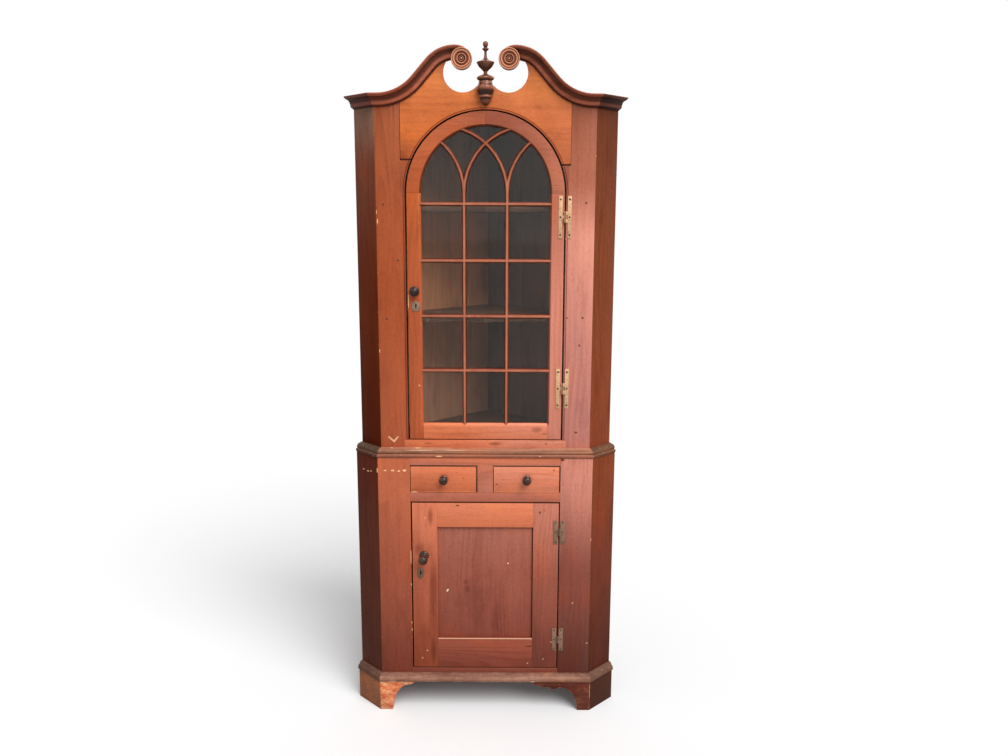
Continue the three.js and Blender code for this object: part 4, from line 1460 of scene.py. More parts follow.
@dataclass
class UpperCase:
    """The upper case: stiles, canted sides, bottom rail, floor, top and shelves."""

    bench: Bench
    low: float = 0.915
    high: float = 2.05

    def build(self) -> None:
        """Dresses the case."""
        self.uprights()
        self.rail()
        self.inside()

    def uprights(self) -> None:
        """Dresses the stiles and the canted sides."""
        check = spots(
            (-319.6, 966.5, 3.2, 3.2), (-315.5, 962.5, 3.4, 3.2), (-311.5, 958.8, 3.4, 3.2),
            (-307.2, 955.2, 3.6, 3.4), (-303, 952.5, 3.8, 3.8), (-299.2, 957, 3.8, 3.6),
            (-295.5, 961.7, 3.6, 3.4), (-291.5, 966.5, 3.2, 3.2), (-346, 1700, 1.4, 7),
            (-343, 1672, 1.8, 9), (-345.5, 1255.4, 2, 6),
        )
        # A pale pink run, a painted sheen on the right stile.
        pale_run = stops(
            (0.0, 208, 134, 121), (0.25, 219, 143, 128), (0.6, 242, 160, 139), (0.8, 182, 106, 79),
            (1.0, 157, 86, 58),
        )
        finishes = {
            "upper_left_stile": Pine(
                stops((0.0, 190, 98, 64), (0.5, 179, 88, 50), (1.0, 173, 91, 55)),
                self.low,
                self.high,
                chips=check,
                joints_and_gap_shade=spots((-268.5, 1806.6, 0.5, 57), (-261.2, 1749.6, 7.3, 0.5)),
                arch=PAINTED_OPENING_BEAD,
            ),
            "upper_right_stile": Pine(
                pale_run,
                self.low,
                self.high,
                film_and_sheen=0.05,
                knots=spots((306, 1276.5, 4, 5), (264, 1366.3, 3, 3), (300, 985, 6, 4)),
                arch=PAINTED_OPENING_BEAD,
            ),
            # The canted returns are painted darker as shade.
            "upper_left_return": Pine(
                stops((0.0, 97, 35, 10), (0.5, 111, 48, 24), (0.8, 122, 67, 48), (1.0, 154, 118, 99)),
                self.low,
                self.high,
                shine=0.03,
            ),
            "upper_right_return": Pine(
                stops((0.0, 155, 78, 50), (0.6, 132, 69, 43), (1.0, 110, 58, 36)),
                self.low,
                self.high,
                shine=0.05,
            ),
        }
        for node, finish in finishes.items():
            worn = 0.2 if node == "upper_left_stile" else 0.4
            self.bench.board(node, finish, Grain.UP, Slot.UPPER_CASE, STILE_ARRIS, worn)

    def rail(self) -> None:
        """Dresses the rail under the glazed door."""
        finish = Pine(
            stops((0.0, 216, 118, 78), (1.0, 226, 126, 84)),
            0.93,
            0.957,
            right=stops((0.0, 212, 130, 102), (1.0, 220, 138, 110)),
            passage=0.12,
            blotch=0.6,
            knots=spots((201.7, 945, 6, 2.6)),
            smudges_and_shade=spots((34, 945, 24, 7), (-190, 945.5, 16, 4)),
        )
        self.bench.board("upper_bottom_rail", finish, Grain.ACROSS, Slot.ORANGE)

    def inside(self) -> None:
        """Dresses the floor, the top and the shelves."""
        # Dark brown, as painted shade inside the case; the low shelf's edges, worn nearly bare, also give a
        # painted highlight along its front.
        brown = stops((0.0, 76, 52, 38), (1.0, 90, 62, 45))
        edges = {"upper_floor": 0.3, "upper_top": 0.3, "upper_shelf_low": 0.9, "upper_shelf_high": 0.2}
        for node, worn in edges.items():
            low, high = self.bench.box(node)
            finish = Pine(brown, low.z, high.z, gloss=0.7, shine=0.12, raw=tone(190, 140, 108))
            self.bench.board(node, finish, Grain.ACROSS, Slot.BARE_BOARD, worn=worn)


@dataclass
class Backs:
    """The backs of both cases, of upright boards side by side."""

    bench: Bench
    boards: int = 3
    joint: float = 0.1 * MM

    def build(self) -> None:
        """Dresses the four backs."""
        walls = {"left": Vector((1, 1, 0)).normalized(), "right": Vector((-1, 1, 0)).normalized()}
        # The left backs are painted lighter and the right ones darker and greyer, as painted light and shade
        # inside the cases.
        inside = {
            "lower_left": stops((0.0, 110, 76, 54), (1.0, 124, 86, 60)),
            "lower_right": stops((0.0, 88, 60, 44), (1.0, 104, 72, 52)),
            "upper_left": stops((0.0, 168, 120, 92), (0.6, 182, 118, 76), (1.0, 156, 116, 94)),
            "upper_right": stops((0.0, 114, 92, 82), (0.6, 112, 90, 80), (1.0, 112, 94, 86)),
        }
        for place, tones in inside.items():
            self.planked(f"{place}_back", walls[place.split("_")[1]], tones)

    def planked(self, node: str, along: Vector, tones: Stops) -> None:
        """Saws one back into its boards.

        Args:
            node: The back's node.
            along: The way along the wall, towards the rear corner.
            tones: Its tones.
        """
        reach = [along.dot(vertex.co) for vertex in self.bench.nodes[node].data.vertices]
        start, width = min(reach), (max(reach) - min(reach)) / self.boards
        low, high = self.bench.box(node)
        finish = Pine(
            tones, low.z, high.z, figure=0.22, blotch=0.5, gloss=0.75, shine=0.12, raw=tone(140, 104, 76)
        )
        planks = []
        for count in range(self.boards):
            plank = self.bench.copy(node, f"{node}_board_{count + 1}")
            if count:
                near = along * (start + count * width + self.joint / 2)
                self.bench.cut(plank, near, along, use_fill=True, clear_inner=True)
            if count < self.boards - 1:
                far = along * (start + (count + 1) * width - self.joint / 2)
                self.bench.cut(plank, far, along, use_fill=True, clear_outer=True)
            board = Board.of(plank)
            face = finish.material(f"{node}_{count + 1}", Grain.UP, board)
            self.bench.paint(plank, face, finish.material(f"{node}_{count + 1}_edge", Grain.UP, board, 0.4))
            self.bench.ease(plank, 0.8 * MM)
            planks.append(plank)
        back = self.bench.join(planks, f"{node}_boards")
        self.bench.smooth(back)
        self.bench.replace(node, back, Slot.BARE_BOARD)


FINIAL_SHARES: tuple[Share, ...] = (
    (0.04, 0), (0.18, 0.006), (0.36, 0.023), (0.48, 0.046), (0.55, 0.07), (0.57, 0.09), (0.55, 0.108),
    (0.6, 0.117), (0.75, 0.127), (0.8, 0.14), (0.8, 0.15), (0.77, 0.163), (0.86, 0.2), (0.97, 0.234),
    (1, 0.268), (0.96, 0.3), (0.8, 0.336), (0.74, 0.38), (0.73, 0.392), (0.86, 0.403), (0.97, 0.427),
    (0.95, 0.441), (0.82, 0.458), (0.55, 0.475), (0.29, 0.492), (0.21, 0.51), (0.21, 0.527), (0.28, 0.54),
    (0.48, 0.57), (0.73, 0.604), (0.88, 0.638), (0.97, 0.664), (0.99, 0.675), (0.86, 0.686), (0.62, 0.698),
    (0.4, 0.714), (0.24, 0.732), (0.17, 0.76), (0.14, 0.802), (0.15, 0.845), (0.37, 0.874), (0.37, 0.885),
    (0.22, 0.897), (0.21, 0.914), (0.28, 0.938), (0.3, 0.962), (0.25, 0.983), (0.14, 0.996), (0.03, 1),
)
# The finial's painted light and shade: at each share of its height, how light it is, 0 to 255.
FINIAL_PAINTED_LIGHT: tuple[Share, ...] = (
    (0.0, 120), (0.065, 190), (0.112, 75), (0.137, 255), (0.172, 85), (0.225, 105), (0.278, 235),
    (0.305, 240), (0.33, 140), (0.366, 230), (0.395, 60), (0.434, 240), (0.462, 130), (0.512, 200),
    (0.56, 130), (0.625, 145), (0.664, 185), (0.69, 200), (0.715, 120), (0.766, 215), (0.85, 150),
    (0.873, 190), (0.898, 90), (0.951, 210), (1.0, 130),
)
ROSETTE_SHARES: tuple[Share, ...] = (
    (0.75, 0), (0.75, 0.37), (1, 0.3765), (1, 0.9), (0.985, 0.963), (0.955, 1), (0.925, 0.985), (0.88, 0.89),
    (0.84, 0.87), (0.79, 0.93), (0.74, 0.97), (0.69, 0.93), (0.64, 0.85), (0.56, 0.815), (0.49, 0.84),
    (0.44, 0.94), (0.39, 0.91), (0.34, 0.81), (0.28, 0.79), (0.23, 0.88), (0.19, 0.87), (0.15, 0.81),
    (0.11, 0.83), (0.07, 0.93), (0.02, 0.956),
)
DOOR_KNOB_SHARES: tuple[Share, ...] = (
    (0.52, 0), (0.54, 0.1), (0.4, 0.2), (0.38, 0.36), (0.62, 0.42), (0.96, 0.46), (1, 0.52), (0.94, 0.6),
    (0.66, 0.64), (0.62, 0.7), (0.66, 0.8), (0.56, 0.92), (0.32, 0.98), (0.02, 1),
)
DRAWER_KNOB_SHARES: tuple[Share, ...] = (
    (0.88, 0), (0.88, 0.07), (0.72, 0.13), (0.46, 0.2), (0.42, 0.34), (0.62, 0.42), (0.9, 0.52), (1, 0.66),
    (0.92, 0.82), (0.62, 0.95), (0.02, 1),
)
PANEL_KNOB_SHARES: tuple[Share, ...] = (
    (1, 0), (1, 0.05), (0.86, 0.1), (0.5, 0.14), (0.36, 0.2), (0.32, 0.36), (0.38, 0.46), (0.64, 0.52),
    (0.88, 0.62), (0.95, 0.73), (0.88, 0.86), (0.6, 0.96), (0.02, 1),
)


@dataclass
class Pediment:
    """The board over the arch, the swan-neck cornices, their rosettes and the finial.

    Projection is how far the cornices stand out, and the finial is sawn to sit over the board's tongue.
    """

    bench: Bench
    projection: float = 37.3 * MM
    tongue: float = 2.0853

    def build(self) -> None:
        """Dresses the pediment."""
        self.tympanum()
        self.cornices()
        self.rosettes()
        self.finial()

    def tympanum(self) -> None:
        """Dresses the board over the arch."""
        finish = Pine(
            stops((0.0, 208, 108, 58), (0.4, 224, 121, 65), (0.75, 236, 134, 74), (1.0, 186, 100, 66)),
            1.847,
            2.19,
            right=stops((0.0, 208, 116, 76), (0.4, 226, 126, 76), (0.75, 240, 140, 80), (1.0, 186, 100, 68)),
            figure=0.16,
            ring=14 * MM,
            blotch=0.7,
            arch=PAINTED_OPENING_BEAD,
            # Dark joint lines round the board, the left one wider, with painted shade in the gaps.
            joints_and_gap_shade=spots(
                (-261.2, 1863.6, 100, 3), (261.2, 1849.1, 60, 3),
                (-268.5, 1950, 2.6, 500), (268.5, 1940, 1.4, 500),
            ),
        )
        self.bench.board("tympanum", finish, Grain.ACROSS, Slot.ORANGE, worn=0.0)

    def cornices(self) -> None:
        """Dresses the swan-neck cornices."""
        # Painted shade in the coves and painted highlight on the bead, member by member, and painted shade on
        # the cants.
        shades = stops(
            (0.0, 80, 80, 80), (0.2, 140, 140, 140), (0.33, 255, 255, 255), (0.42, 150, 150, 150),
            (0.7, 130, 130, 130), (0.82, 215, 215, 215), (1.0, 235, 235, 235),
        )
        finish = Pine(
            stops((0.0, 190, 108, 82), (0.5, 196, 114, 88), (1.0, 208, 128, 102)),
            2.02,
            2.2,
            blotch=0.6,
            gloss=0.4,
            shine=0.12,
            scuffs=0.6,
            cant_shade=CantShade(UPPER_HALF_FRONT, UPPER_FRONT, tone(136, 78, 64), tone(114, 64, 50)),
            members=MemberShade(UPPER_FRONT, self.projection, shades, UPPER_HALF_FRONT),
            raw=tone(196, 124, 92),
        )
        for side in ("left", "right"):
            self.bench.board(f"{side}_cornice", finish, Grain.ACROSS, Slot.DARK_MOULDING, 0.5 * MM)

    def rosettes(self) -> None:
        """Turns both rosettes."""
        low, high = self.bench.box("left_rosette")
        # Dark in the grooves and light on the ridges: painted shade and highlight.
        finish = Turned(
            tone(130, 72, 52),
            tone(242, 174, 138),
            0.36,
            polish=0.2,
            ridge=low.y + 0.02 * (high.y - low.y),
            groove=low.y + 0.19 * (high.y - low.y),
        )
        nodes = ("left_rosette", "right_rosette")
        self.bench.turned(ROSETTE_SHARES, finish, Slot.ORANGE, *nodes, sides=64, degrees=40)

    def finial(self) -> None:
        """Turns the finial and saws its foot to sit on the board."""
        low, high = self.bench.box("finial")
        radius = (high.x - low.x) / 2
        axis = Vector((0, low.y + radius, low.z))
        outline = [(share * radius, height * (high.z - low.z)) for share, height in rounded(FINIAL_SHARES)]
        piece = self.bench.turn("finial_turned", outline, 56)
        piece.data.transform(Matrix.Translation(axis))
        face = self.bench.box("tympanum")[0].y - 0.3 * MM
        bpy.ops.mesh.primitive_cube_add(size=1, location=(0, 0, 0))
        cutter = bpy.context.active_object
        reach = 4 * radius
        scale = Matrix.Diagonal((reach, reach, reach, 1))
        cutter.data.transform(Matrix.Translation((0, face + reach / 2, self.tongue - reach / 2)) @ scale)
        self.bench.modify(piece, "BOOLEAN", operation="DIFFERENCE", object=cutter, solver="EXACT")
        bpy.data.objects.remove(cutter)
        finish = Turned(
            tone(166, 98, 74),
            tone(242, 172, 132),
            rub=0.6,
            polish=0.55,
            low=low.z,
            high=high.z,
            painted_light_bands=stops(*((height, level, 0.97 * level, 0.94 * level) for height, level in FINIAL_PAINTED_LIGHT)),
        )
        self.bench.paint(piece, finish.material(piece.name))
        self.bench.smooth(piece, 40)
        self.bench.replace("finial", piece, Slot.TURNED)


@dataclass
class Fittings:
    """Key plates, keyholes, hinge leaves and screws, which both doors share."""

    bench: Bench
    screw_radius: float = 3.3 * MM
    screw_height: float = 0.7 * MM
    screw_slot: float = 0.9 * MM
    keyhole: float = 3.8 * MM
    keyhole_rise: float = 3.4 * MM
    keyhole_drop: float = 6.8 * MM

    def plate(self, node: str, metal: OldMetal) -> None:
        """Files the edges of a key plate and sets a dark piece of painted shadow behind its keyhole.

        Args:
            node: The key plate's node.
            metal: Its finish.
        """
        self.filed(node, metal, Slot.BRASS, 0.4 * MM)
        middle, back = self.bench.middle(node), self.bench.box(node)[1].y
        hole = self.bench.turn(f"{node}_keyhole", [(self.keyhole, 0.02 * MM), (self.keyhole, 0.12 * MM)], 20)
        with self.bench.picked(hole, "VERT", lambda vertex: vertex.co.y < -0.1 * MM):
            bpy.ops.transform.translate(value=(0, -self.keyhole_drop, 0))
        seat = Matrix.Translation((middle.x, back + 0.2 * MM, middle.z + self.keyhole_rise))
        hole.data.transform(seat @ TO_FRONT)
        self.bench.paint(hole, Shadowed().material(hole.name))
        self.bench.fit(hole, self.bench.body_of[node], Slot.BRASS)

    def filed(self, node: str, metal: OldMetal, slot: Slot, width: float) -> None:
        """Files the edges of a copy of a plate or a hinge leaf.

        Args:
            node: The frame's node.
            metal: Its finish.
            slot: The record's slot for its finish.
            width: The width of its filed edges.
        """
        piece = self.bench.copy(node, f"{node}_filed")
        self.bench.paint(piece, metal.material(piece.name))
        self.bench.ease(piece, width)
        self.bench.smooth(piece, 35)
        self.bench.replace(node, piece, slot)

    def screw(self) -> Piece:
        """Turns a screw head and sinks its slot.

        Returns:
            The screw, on the Z axis, to be copied.
        """
        radius, height, half = self.screw_radius, self.screw_height, self.screw_slot / 2
        shares = ((1, 0), (1, 0.3), (0.86, 0.75), (0.5, 1))
        outline = [(share * radius, level * height) for share, level in shares]
        piece = self.bench.turn("screw_pattern", outline, 16)
        for side in (-half, half):
            self.bench.cut(piece, (side, 0, 0), (1, 0, 0))
        with self.bench.picked(piece, "FACE", lambda face: abs(face.center.x) < half and face.normal.z > 0.3):
            bpy.ops.mesh.extrude_region_move(TRANSFORM_OT_translate={"value": (0, 0, -0.4 * height)})
        self.bench.smooth(piece, 30)
        return piece


@dataclass(frozen=True)
class HingeKind:
    """One case's hinges: their pins' place, the width of a leaf, its metal, its slot and its screws' tone."""

    pin: float
    leaf: float
    clean: Tone
    spotted: Tone
    metallic: float
    rough: float
    slot: Slot
    head: Tone


HINGES: dict[str, HingeKind] = {
    "upper": HingeKind(
        0.2521, 12 * MM, tone(232, 186, 142), tone(150, 106, 76), 0.3, 0.42, Slot.BRASS, tone(92, 56, 42)
    ),
    "lower": HingeKind(
        0.2481, 14 * MM, tone(146, 114, 92), tone(104, 74, 58), 0.2, 0.66, Slot.IRON, tone(106, 80, 64)
    ),
}


@dataclass
class Hinges:
    """The four pairs of hinge leaves and their screws.

    Lift is how far the screws stand before the stile, and along is where they are in a leaf's half height.
    """

    bench: Bench
    fittings: Fittings
    lift: float = 2.3 * MM
    along: tuple[float, ...] = (-0.84, 0.0, 0.84)
    dice: random.Random = field(default_factory=lambda: random.Random(11))

    def build(self) -> None:
        """Dresses the brass hinges above and the iron ones below."""
        pattern = self.fittings.screw()
        for case, kind in HINGES.items():
            metal = OldMetal(kind.clean, kind.spotted, kind.metallic, kind.rough, pin=kind.pin)
            for level in ("low", "high"):
                for owner in ("case", "door"):
                    node = f"{case}_hinge_{level}_{owner}_leaf"
                    self.fittings.filed(node, metal, kind.slot, 0.3 * MM)
                    self.drive(pattern, node, case, owner)
        bpy.data.objects.remove(pattern)

    def drive(self, pattern: Piece, node: str, case: str, owner: str) -> None:
        """Drives a leaf's screws.

        Args:
            pattern: The screw that is copied.
            node: The leaf's node.
            case: The case it is on, upper or lower.
            owner: What it is screwed to, the case or the door.
        """
        kind = HINGES[case]
        low, high = self.bench.box(node)
        across = high.x - kind.leaf / 2 if owner == "case" else low.x + kind.leaf / 2
        face = self.bench.box(f"{case}_right_stile")[0].y
        middle, half = (high.z + low.z) / 2, (high.z - low.z) / 2
        head = OldMetal(kind.head, tone(48, 28, 20), 0.2, 0.5)
        for count, share in enumerate(self.along):
            seat = Matrix.Translation((across, face - self.lift, middle + share * half))
            turned = TO_FRONT @ Matrix.Rotation(self.dice.uniform(0, math.pi), 4, "Z")
            piece = self.bench.place(pattern, f"{node}_screw_{count + 1}", seat @ turned)
            self.bench.paint(piece, head.material(piece.name))
            self.bench.fit(piece, self.bench.body_of[node], kind.slot)


@dataclass
class GlazedDoor:
    """The arched upper door: frame, bars, panes, knob and key plate."""

    bench: Bench
    fittings: Fittings
    bevel: float = 6 * MM
    bar_depth: float = 9 * MM
    bar_setback: float = 1 * MM
    pane_cell: float = 14 * MM
    wave_size: float = 0.12
    wave_depth: float = 0.7 * MM

    def build(self) -> None:
        """Dresses the door."""
        # Painted shade on the inner bevel of the right stile and of the arch.
        sight = stops((0.0, 150, 135, 130), (0.8, 190, 175, 170), (1.0, 255, 255, 255))
        shaded_bevel = MemberShade(UPPER_FRONT + self.bevel, self.bevel, sight)
        left = Pine(
            stops((0.0, 190, 96, 58), (0.5, 184, 92, 54), (1.0, 194, 96, 48)),
            0.96,
            1.76,
            chips=spots((-216.6, 1141.4, 2.4, 2.4), (-248.5, 1420, 1.6, 26)),
        )
        # The right stile's pinker tones and film are a painted sheen.
        right = Pine(
            stops((0.0, 214, 134, 112), (0.5, 226, 142, 120), (1.0, 193, 111, 84)),
            0.96,
            1.76,
            film_and_sheen=0.08,
            members=shaded_bevel,
        )
        arch = Pine(
            stops((0.0, 196, 98, 52), (0.2, 190, 96, 56), (0.6, 198, 105, 66), (1.0, 184, 100, 68)),
            1.76,
            2.012,
            right=stops((0.0, 196, 120, 94), (0.6, 182, 106, 80), (1.0, 166, 90, 66)),
            passage=1.5 * MM,
            members=shaded_bevel,
            knots=spots((0, 1988, 0.7, 22)),
        )
        foot = Pine(
            stops((0.0, 230, 126, 82), (1.0, 238, 136, 92)),
            0.96,
            1.0125,
            right=stops((0.0, 230, 138, 104), (1.0, 236, 146, 116)),
            passage=0.15,
            smudges_and_shade=spots((170, 993, 22, 12), (196, 980, 10, 6)),
        )
        self.bench.board("upper_door_left_stile", left, Grain.UP, Slot.ORANGE)
        self.bench.board("upper_door_right_stile", right, Grain.UP, Slot.ORANGE)
        self.bench.board("upper_door_arch", arch, Grain.ACROSS, Slot.ORANGE)
        self.bench.board("upper_door_bottom_rail", foot, Grain.ACROSS, Slot.ORANGE)
        self.bars()
        self.panes()
        self.bench.turned(DOOR_KNOB_SHARES, Turned(), Slot.TURNED, "upper_door_knob")
        brass = OldMetal(tone(152, 124, 102), tone(88, 64, 50), 0.3, 0.5)
        self.fittings.plate("upper_door_key_plate", brass)

    def bars(self) -> None:
        """Dresses the glazing bars."""
        # Painted highlight on the bars' noses and painted shade on their flanks.
        lit_nose_and_shaded_flanks = stops((0.0, 100, 70, 60), (0.4, 156, 120, 108), (0.8, 206, 180, 170), (1.0, 254, 250, 248))
        finish = Pine(
            stops((0.0, 194, 122, 94), (0.8, 196, 126, 98), (0.97, 160, 98, 76)),
            1.01,
            1.97,
            members=MemberShade(UPPER_FRONT + self.bar_depth, self.bar_depth - self.bar_setback, lit_nose_and_shaded_flanks),
            raw=tone(226, 156, 114),
        )
        self.bench.board("glazing_bars", finish, Grain.UP, Slot.ORANGE, 0.5 * MM)

    def panes(self) -> None:
        """Cuts the sheet of glass fine enough to carry a faint wave."""
        piece = self.bench.copy("upper_door_glass", "upper_door_panes")
        low, high = self.bench.box("upper_door_glass")
        for axis in (0, 2):
            count = int((high[axis] - low[axis]) / self.pane_cell)
            normal = Vector((0, 0, 0))
            normal[axis] = 1
            for step in range(1, count):
                self.bench.cut(piece, low + normal * step * (high[axis] - low[axis]) / count, normal)
        clouds = bpy.data.textures.new("old_glass_wave", "CLOUDS")
        clouds.noise_scale = self.wave_size
        wave = {"texture": clouds, "direction": "Y", "strength": self.wave_depth, "texture_coords": "LOCAL"}
        self.bench.modify(piece, "DISPLACE", **wave)
        self.bench.paint(piece, OldGlass().material("old_glass"))
        self.bench.smooth(piece, 20)
        self.bench.replace("upper_door_glass", piece, Slot.GLASS)


@dataclass
class PanelledDoor:
    """The lower door: frame, sunk panel, knob and key plate.

    Panel foot and head are where the panel meets the rails.
    """

    bench: Bench
    fittings: Fittings
    panel_foot: float = 0.2598
    panel_head: float = 0.664

    def build(self) -> None:
        """Dresses the door."""
        self.stiles()
        self.rails()
        self.panel()
        self.bench.turned(PANEL_KNOB_SHARES, Turned(), Slot.TURNED, "lower_door_knob")
        brass = OldMetal(tone(126, 102, 80), tone(70, 50, 38), 0.5, 0.55)
        self.fittings.plate("lower_door_key_plate", brass)

    def stiles(self) -> None:
        """Dresses the stiles."""
        # The stiles darken towards the floor, partly as painted shade.
        left = Pine(
            stops((0.0, 154, 76, 51), (0.5, 182, 97, 70), (1.0, 216, 124, 91)),
            0.15,
            0.75,
            chips=spots((-201.7, 694, 2, 2), (-216, 187, 3, 1.8), (-199, 215, 3, 1.8)),
            # The last three marks, down the stile's inner edge, are painted shade beside the sunk panel.
            smudges_and_shade=spots(
                (-222.6, 585, 22, 28), (-184, 700, 10, 35), (-176, 410, 17, 160), (-178, 220, 13, 60)
            ),
            rubs=(Spot(self.bench.box("lower_door_left_stile")[0].x, 0.45, 2.4 * MM, ENDLESS),),
        )
        self.bench.board("lower_door_left_stile", left, Grain.UP, Slot.LOWER_CASE)
        right = Pine(
            stops((0.0, 126, 66, 54), (0.5, 160, 90, 72), (1.0, 206, 127, 105)),
            0.15,
            0.75,
            chips=spots((226.9, 248, 2.4, 2.4), (200.1, 185, 2, 2)),
            knots=spots((183.4, 715.2, 4.5, 5.5), (200, 721.3, 2, 2)),
        )
        self.bench.board("lower_door_right_stile", right, Grain.UP, Slot.LOWER_CASE)

    def rails(self) -> None:
        """Dresses the rails."""
        top = Pine(
            stops((0.0, 224, 126, 91), (1.0, 230, 134, 97)), 0.664, 0.748, knots=spots((-92.6, 738.4, 8, 4))
        )
        self.bench.board("lower_door_top_rail", top, Grain.ACROSS, Slot.LOWER_CASE)
        bottom = Pine(
            stops((0.0, 139, 71, 55), (1.0, 156, 82, 63)),
            0.152,
            0.26,
            chips=spots((146.7, 168.3, 2.6, 2)) + (Spot(0.0, self.panel_foot, ENDLESS, 1.3 * MM),),
            knots=spots((155, 232, 20, 3)),
            fresh=tone(232, 196, 160),
        )
        self.bench.board("lower_door_bottom_rail", bottom, Grain.ACROSS, Slot.LOWER_CASE)

    def panel(self) -> None:
        """Dresses the sunk panel, with painted shadow along its top and down its right side, under the rail
        and beside the stile.
        """
        sight = self.bench.box("lower_door_right_stile")[0].x
        finish = Pine(
            stops((0.0, 150, 80, 63), (0.5, 164, 92, 74), (1.0, 172, 104, 87)),
            0.26,
            0.664,
            figure=0.22,
            ring=8 * MM,
            chips=spots((-129.5, 430.5, 3, 3.5), (-127, 434.5, 3, 3.5), (77.3, 531.1, 2.5, 2.5)),
            # Painted shadow cast by the stile and the top rail onto the sunk panel.
            joints_and_gap_shade=(Spot(sight, 0.46, 4 * MM, ENDLESS), Spot(0.0, self.panel_head, ENDLESS, 3 * MM)),
            smudges_and_shade=spots((-66, 462.5, 10, 12), (-61, 438, 15, 19)),
            fresh=tone(255, 226, 186),
        )
        self.bench.board("lower_door_panel", finish, Grain.UP, Slot.LOWER_CASE)


@dataclass
class Drawers:
    """The two drawers."""

    bench: Bench
    low: float = 0.783

    def build(self) -> None:
        """Dresses both drawers."""
        tones = {
            "left": stops((0.0, 212, 115, 77), (1.0, 230, 130, 90)),
            "right": stops((0.0, 221, 129, 99), (1.0, 240, 148, 117)),
        }
        knots = {
            "left": ((65.4, 3, 3, 1.8), (-40, -6, 1.8, 1.4)),
            "right": ((90, 32, 2.2, 4), (-99, -18, 4, 2)),
        }
        chips = {"left": spots((-236, 784.5, 11, 2.5)), "right": spots((28.5, 871, 2, 3))}
        box = Pine(stops((0.0, 150, 110, 78), (1.0, 160, 118, 84)), self.low, 0.87, gloss=0.7, shine=0.15)
        for side in ("left", "right"):
            knob = self.bench.middle(f"{side}_drawer_knob")
            low, high = self.bench.box(f"{side}_drawer_front")
            front = Pine(
                tones[side],
                self.low,
                0.876,
                chips=chips[side],
                smudges_and_shade=(Spot(knob.x, knob.z, 20 * MM, 20 * MM),),
                knots=tuple(
                    Spot(knob.x + across * MM, knob.z + up * MM, half_width * MM, half_height * MM)
                    for across, up, half_width, half_height in knots[side]
                ),
                # Painted shade in the gaps along each front's top, bottom and right edge.
                joints_and_gap_shade=(
                    Spot(knob.x, high.z, ENDLESS, 2.4 * MM),
                    Spot(knob.x, low.z, ENDLESS, 1.4 * MM),
                    Spot(high.x, knob.z, 2.8 * MM, ENDLESS),
                ),
                rubs=(
                    Spot(knob.x, low.z + 3 * MM, ENDLESS, 1.4 * MM),
                    Spot(low.x, knob.z, 2.4 * MM, ENDLESS),
                ),
            )
            self.bench.board(f"{side}_drawer_front", front, Grain.ACROSS, Slot.LOWER_CASE)
            self.bench.board(f"{side}_drawer_box", box, Grain.ACROSS, Slot.BARE_BOARD)
        self.bench.turned(DRAWER_KNOB_SHARES, Turned(), Slot.TURNED, "left_drawer_knob", "right_drawer_knob")


@dataclass
class Nails:
    """The dark heads of the nails that fix the front boards."""

    bench: Bench
    radius: float = 3.6 * MM
    places: tuple[Share, ...] = (
        (-0.3233, 1.7241), (0.3186, 1.7315), (-0.2799, 1.5486), (-0.3196, 1.3610), (0.3143, 1.3665),
    )

    def build(self) -> None:
        """Forges one nail head and drives a copy of it at each place."""
        front = self.bench.box("upper_left_stile")[0].y
        outline = [(self.radius, -0.2 * MM), (self.radius, 0.15 * MM), (0.6 * self.radius, 0.35 * MM)]
        pattern = self.bench.turn("nail_pattern", outline, 14)
        self.bench.smooth(pattern, 40)
        head = OldMetal(tone(104, 52, 36), tone(60, 30, 22), 0.0, 0.6)
        for count, (across, up) in enumerate(self.places):
            seat = Matrix.Translation((across, front, up)) @ TO_FRONT
            piece = self.bench.place(pattern, f"case_nail_{count + 1}", seat)
            self.bench.paint(piece, head.material(piece.name))
            self.bench.fit(piece, "case", Slot.UPPER_CASE)
        bpy.data.objects.remove(pattern)


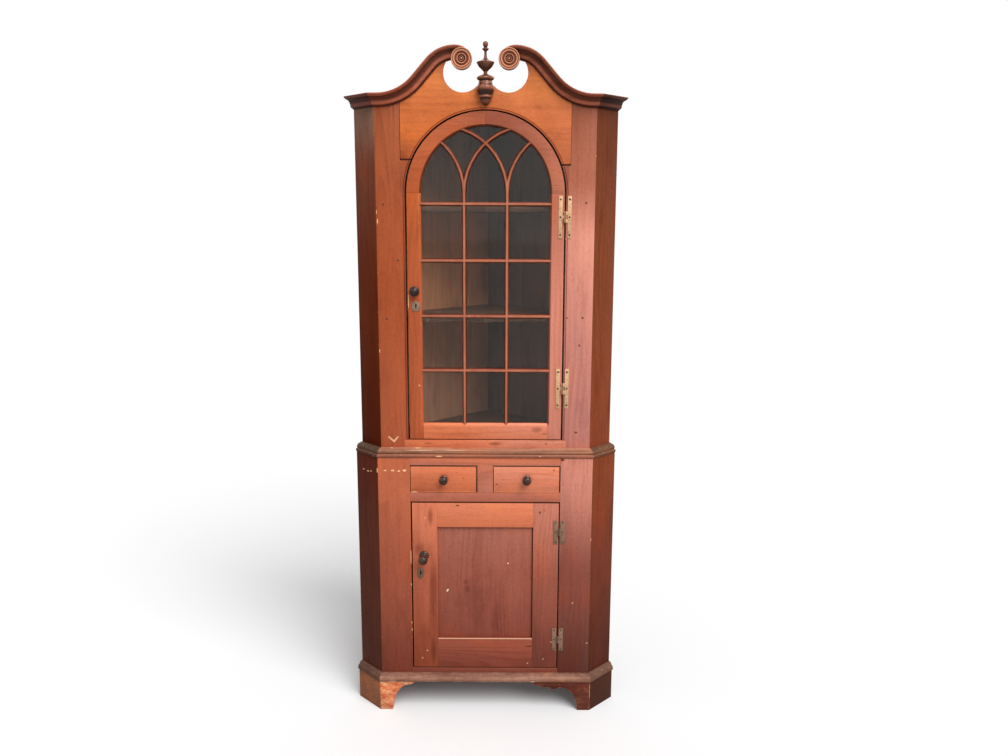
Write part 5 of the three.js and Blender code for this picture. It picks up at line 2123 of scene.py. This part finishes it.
@dataclass(frozen=True)
class Studio:
    """A pale floor, an even sky, one very soft lamp and a camera at the photograph's viewing place."""

    eye: tuple[float, float, float] = (0.0632, -2.9875, 1.6825)
    pitch: float = 10.491
    yaw: float = -0.046
    roll: float = 0.253
    lens: float = 30.781
    floor_half: float = 60.0
    sky: float = 0.45
    lamp_level: float = 0.82
    lamp_height: float = 48.0
    lamp_side: float = 32.0
    lamp_width: float = 40.0

    def build(self) -> None:
        """Sets the floor, the world, the lamp and the camera."""
        self.floor()
        self.world()
        self.lamp()
        self.camera()
        bpy.context.scene.view_settings.view_transform = "Standard"

    def floor(self) -> None:
        """Lays the floor, which shows white wherever no shadow falls on it."""
        bpy.ops.object.select_all(action="DESELECT")
        bpy.ops.mesh.primitive_plane_add(size=2 * self.floor_half, location=(0, 0, 0))
        floor = bpy.context.active_object
        floor.name = "pale_floor"
        graph = Graph.named("pale_floor")
        pale = graph.mix(graph.noise(graph.place, 0.7, 3.0), tone(249, 249, 249), tone(246, 246, 247))
        rays = graph.add("ShaderNodeLightPath").outputs
        seen = graph.work_out("MAXIMUM", rays["Is Camera Ray"], rays["Is Transmission Ray"])
        finish = graph.finish(
            Base_Color=graph.mix(seen, tone(180, 178, 176), pale),
            Roughness=0.9,
            Specular_IOR_Level=0.1,
            Emission_Color=(1, 1, 1, 1),
            Emission_Strength=seen * 0.04,
        )
        floor.data.materials.append(finish)
        floor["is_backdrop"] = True

    def world(self) -> None:
        """Lights the scene evenly and shows white behind it, in the metal and in the glass."""
        world = bpy.data.worlds.new("studio")
        bpy.context.scene.world = world
        graph = Graph(world)
        rays = graph.add("ShaderNodeLightPath").outputs
        level: Amount = self.sky
        for kind in ("Is Camera Ray", "Is Glossy Ray", "Is Transmission Ray"):
            level = graph.work_out("MAXIMUM", rays[kind], level)
        light = graph.add("ShaderNodeBackground", {"Color": (1, 1, 1, 1), "Strength": level})
        graph.add("ShaderNodeOutputWorld", {"Surface": light.outputs[0]})

    def lamp(self) -> None:
        """Hangs one wide, distant lamp in front of the cupboard, above it and to its right."""
        data = bpy.data.lights.new("soft_lamp", "SUN")
        data.energy = self.lamp_level * math.pi
        data.angle = math.radians(self.lamp_width)
        lamp = bpy.data.objects.new("soft_lamp", data)
        bpy.context.scene.collection.objects.link(lamp)
        height, side = math.radians(self.lamp_height), math.radians(self.lamp_side)
        level = Vector((-math.sin(side), math.cos(side), 0))
        way = level * math.cos(height) - Vector((0, 0, math.sin(height)))
        lamp.matrix_world = way.to_track_quat("-Z", "Y").to_matrix().to_4x4()

    def camera(self) -> None:
        """Sets the camera at the height, place and tilt that the edges of the cupboard give."""
        pitch, yaw, roll = (math.radians(angle) for angle in (self.pitch, self.yaw, self.roll))
        ahead = Vector((math.sin(yaw) * math.cos(pitch), math.cos(yaw) * math.cos(pitch), -math.sin(pitch)))
        level = Vector((math.cos(yaw), -math.sin(yaw), 0))
        above = level.cross(ahead)
        right = level * math.cos(roll) + above * math.sin(roll)
        up = above * math.cos(roll) - level * math.sin(roll)
        data = bpy.data.cameras.new("photo_camera")
        data.sensor_fit = "HORIZONTAL"
        data.sensor_width = 36
        data.lens = self.lens
        data.clip_end = 200
        camera = bpy.data.objects.new("photo_camera", data)
        bpy.context.scene.collection.objects.link(camera)
        turned = Matrix((right, up, -ahead)).transposed().to_4x4()
        camera.matrix_world = Matrix.Translation(self.eye) @ turned
        bpy.context.scene.camera = camera


def corners() -> list[list[float]]:
    """Returns the lowest and highest corners of what is shown, as plain numbers."""
    return [list(corner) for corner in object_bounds()]


def main() -> None:
    """Builds the studio and dresses every sub-assembly in order."""
    logging.basicConfig(level=logging.INFO, format="%(message)s")
    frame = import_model()
    bench = Bench.from_frame(frame)
    fittings = Fittings(bench)
    cases = (LowerCase(bench), Waist(bench), UpperCase(bench), Backs(bench), Pediment(bench))
    doors = (GlazedDoor(bench, fittings), PanelledDoor(bench, fittings))
    for part in (Studio(), *cases, *doors, Drawers(bench), Hinges(bench, fittings), Nails(bench)):
        part.build()


if __name__ == "__main__":
    main()
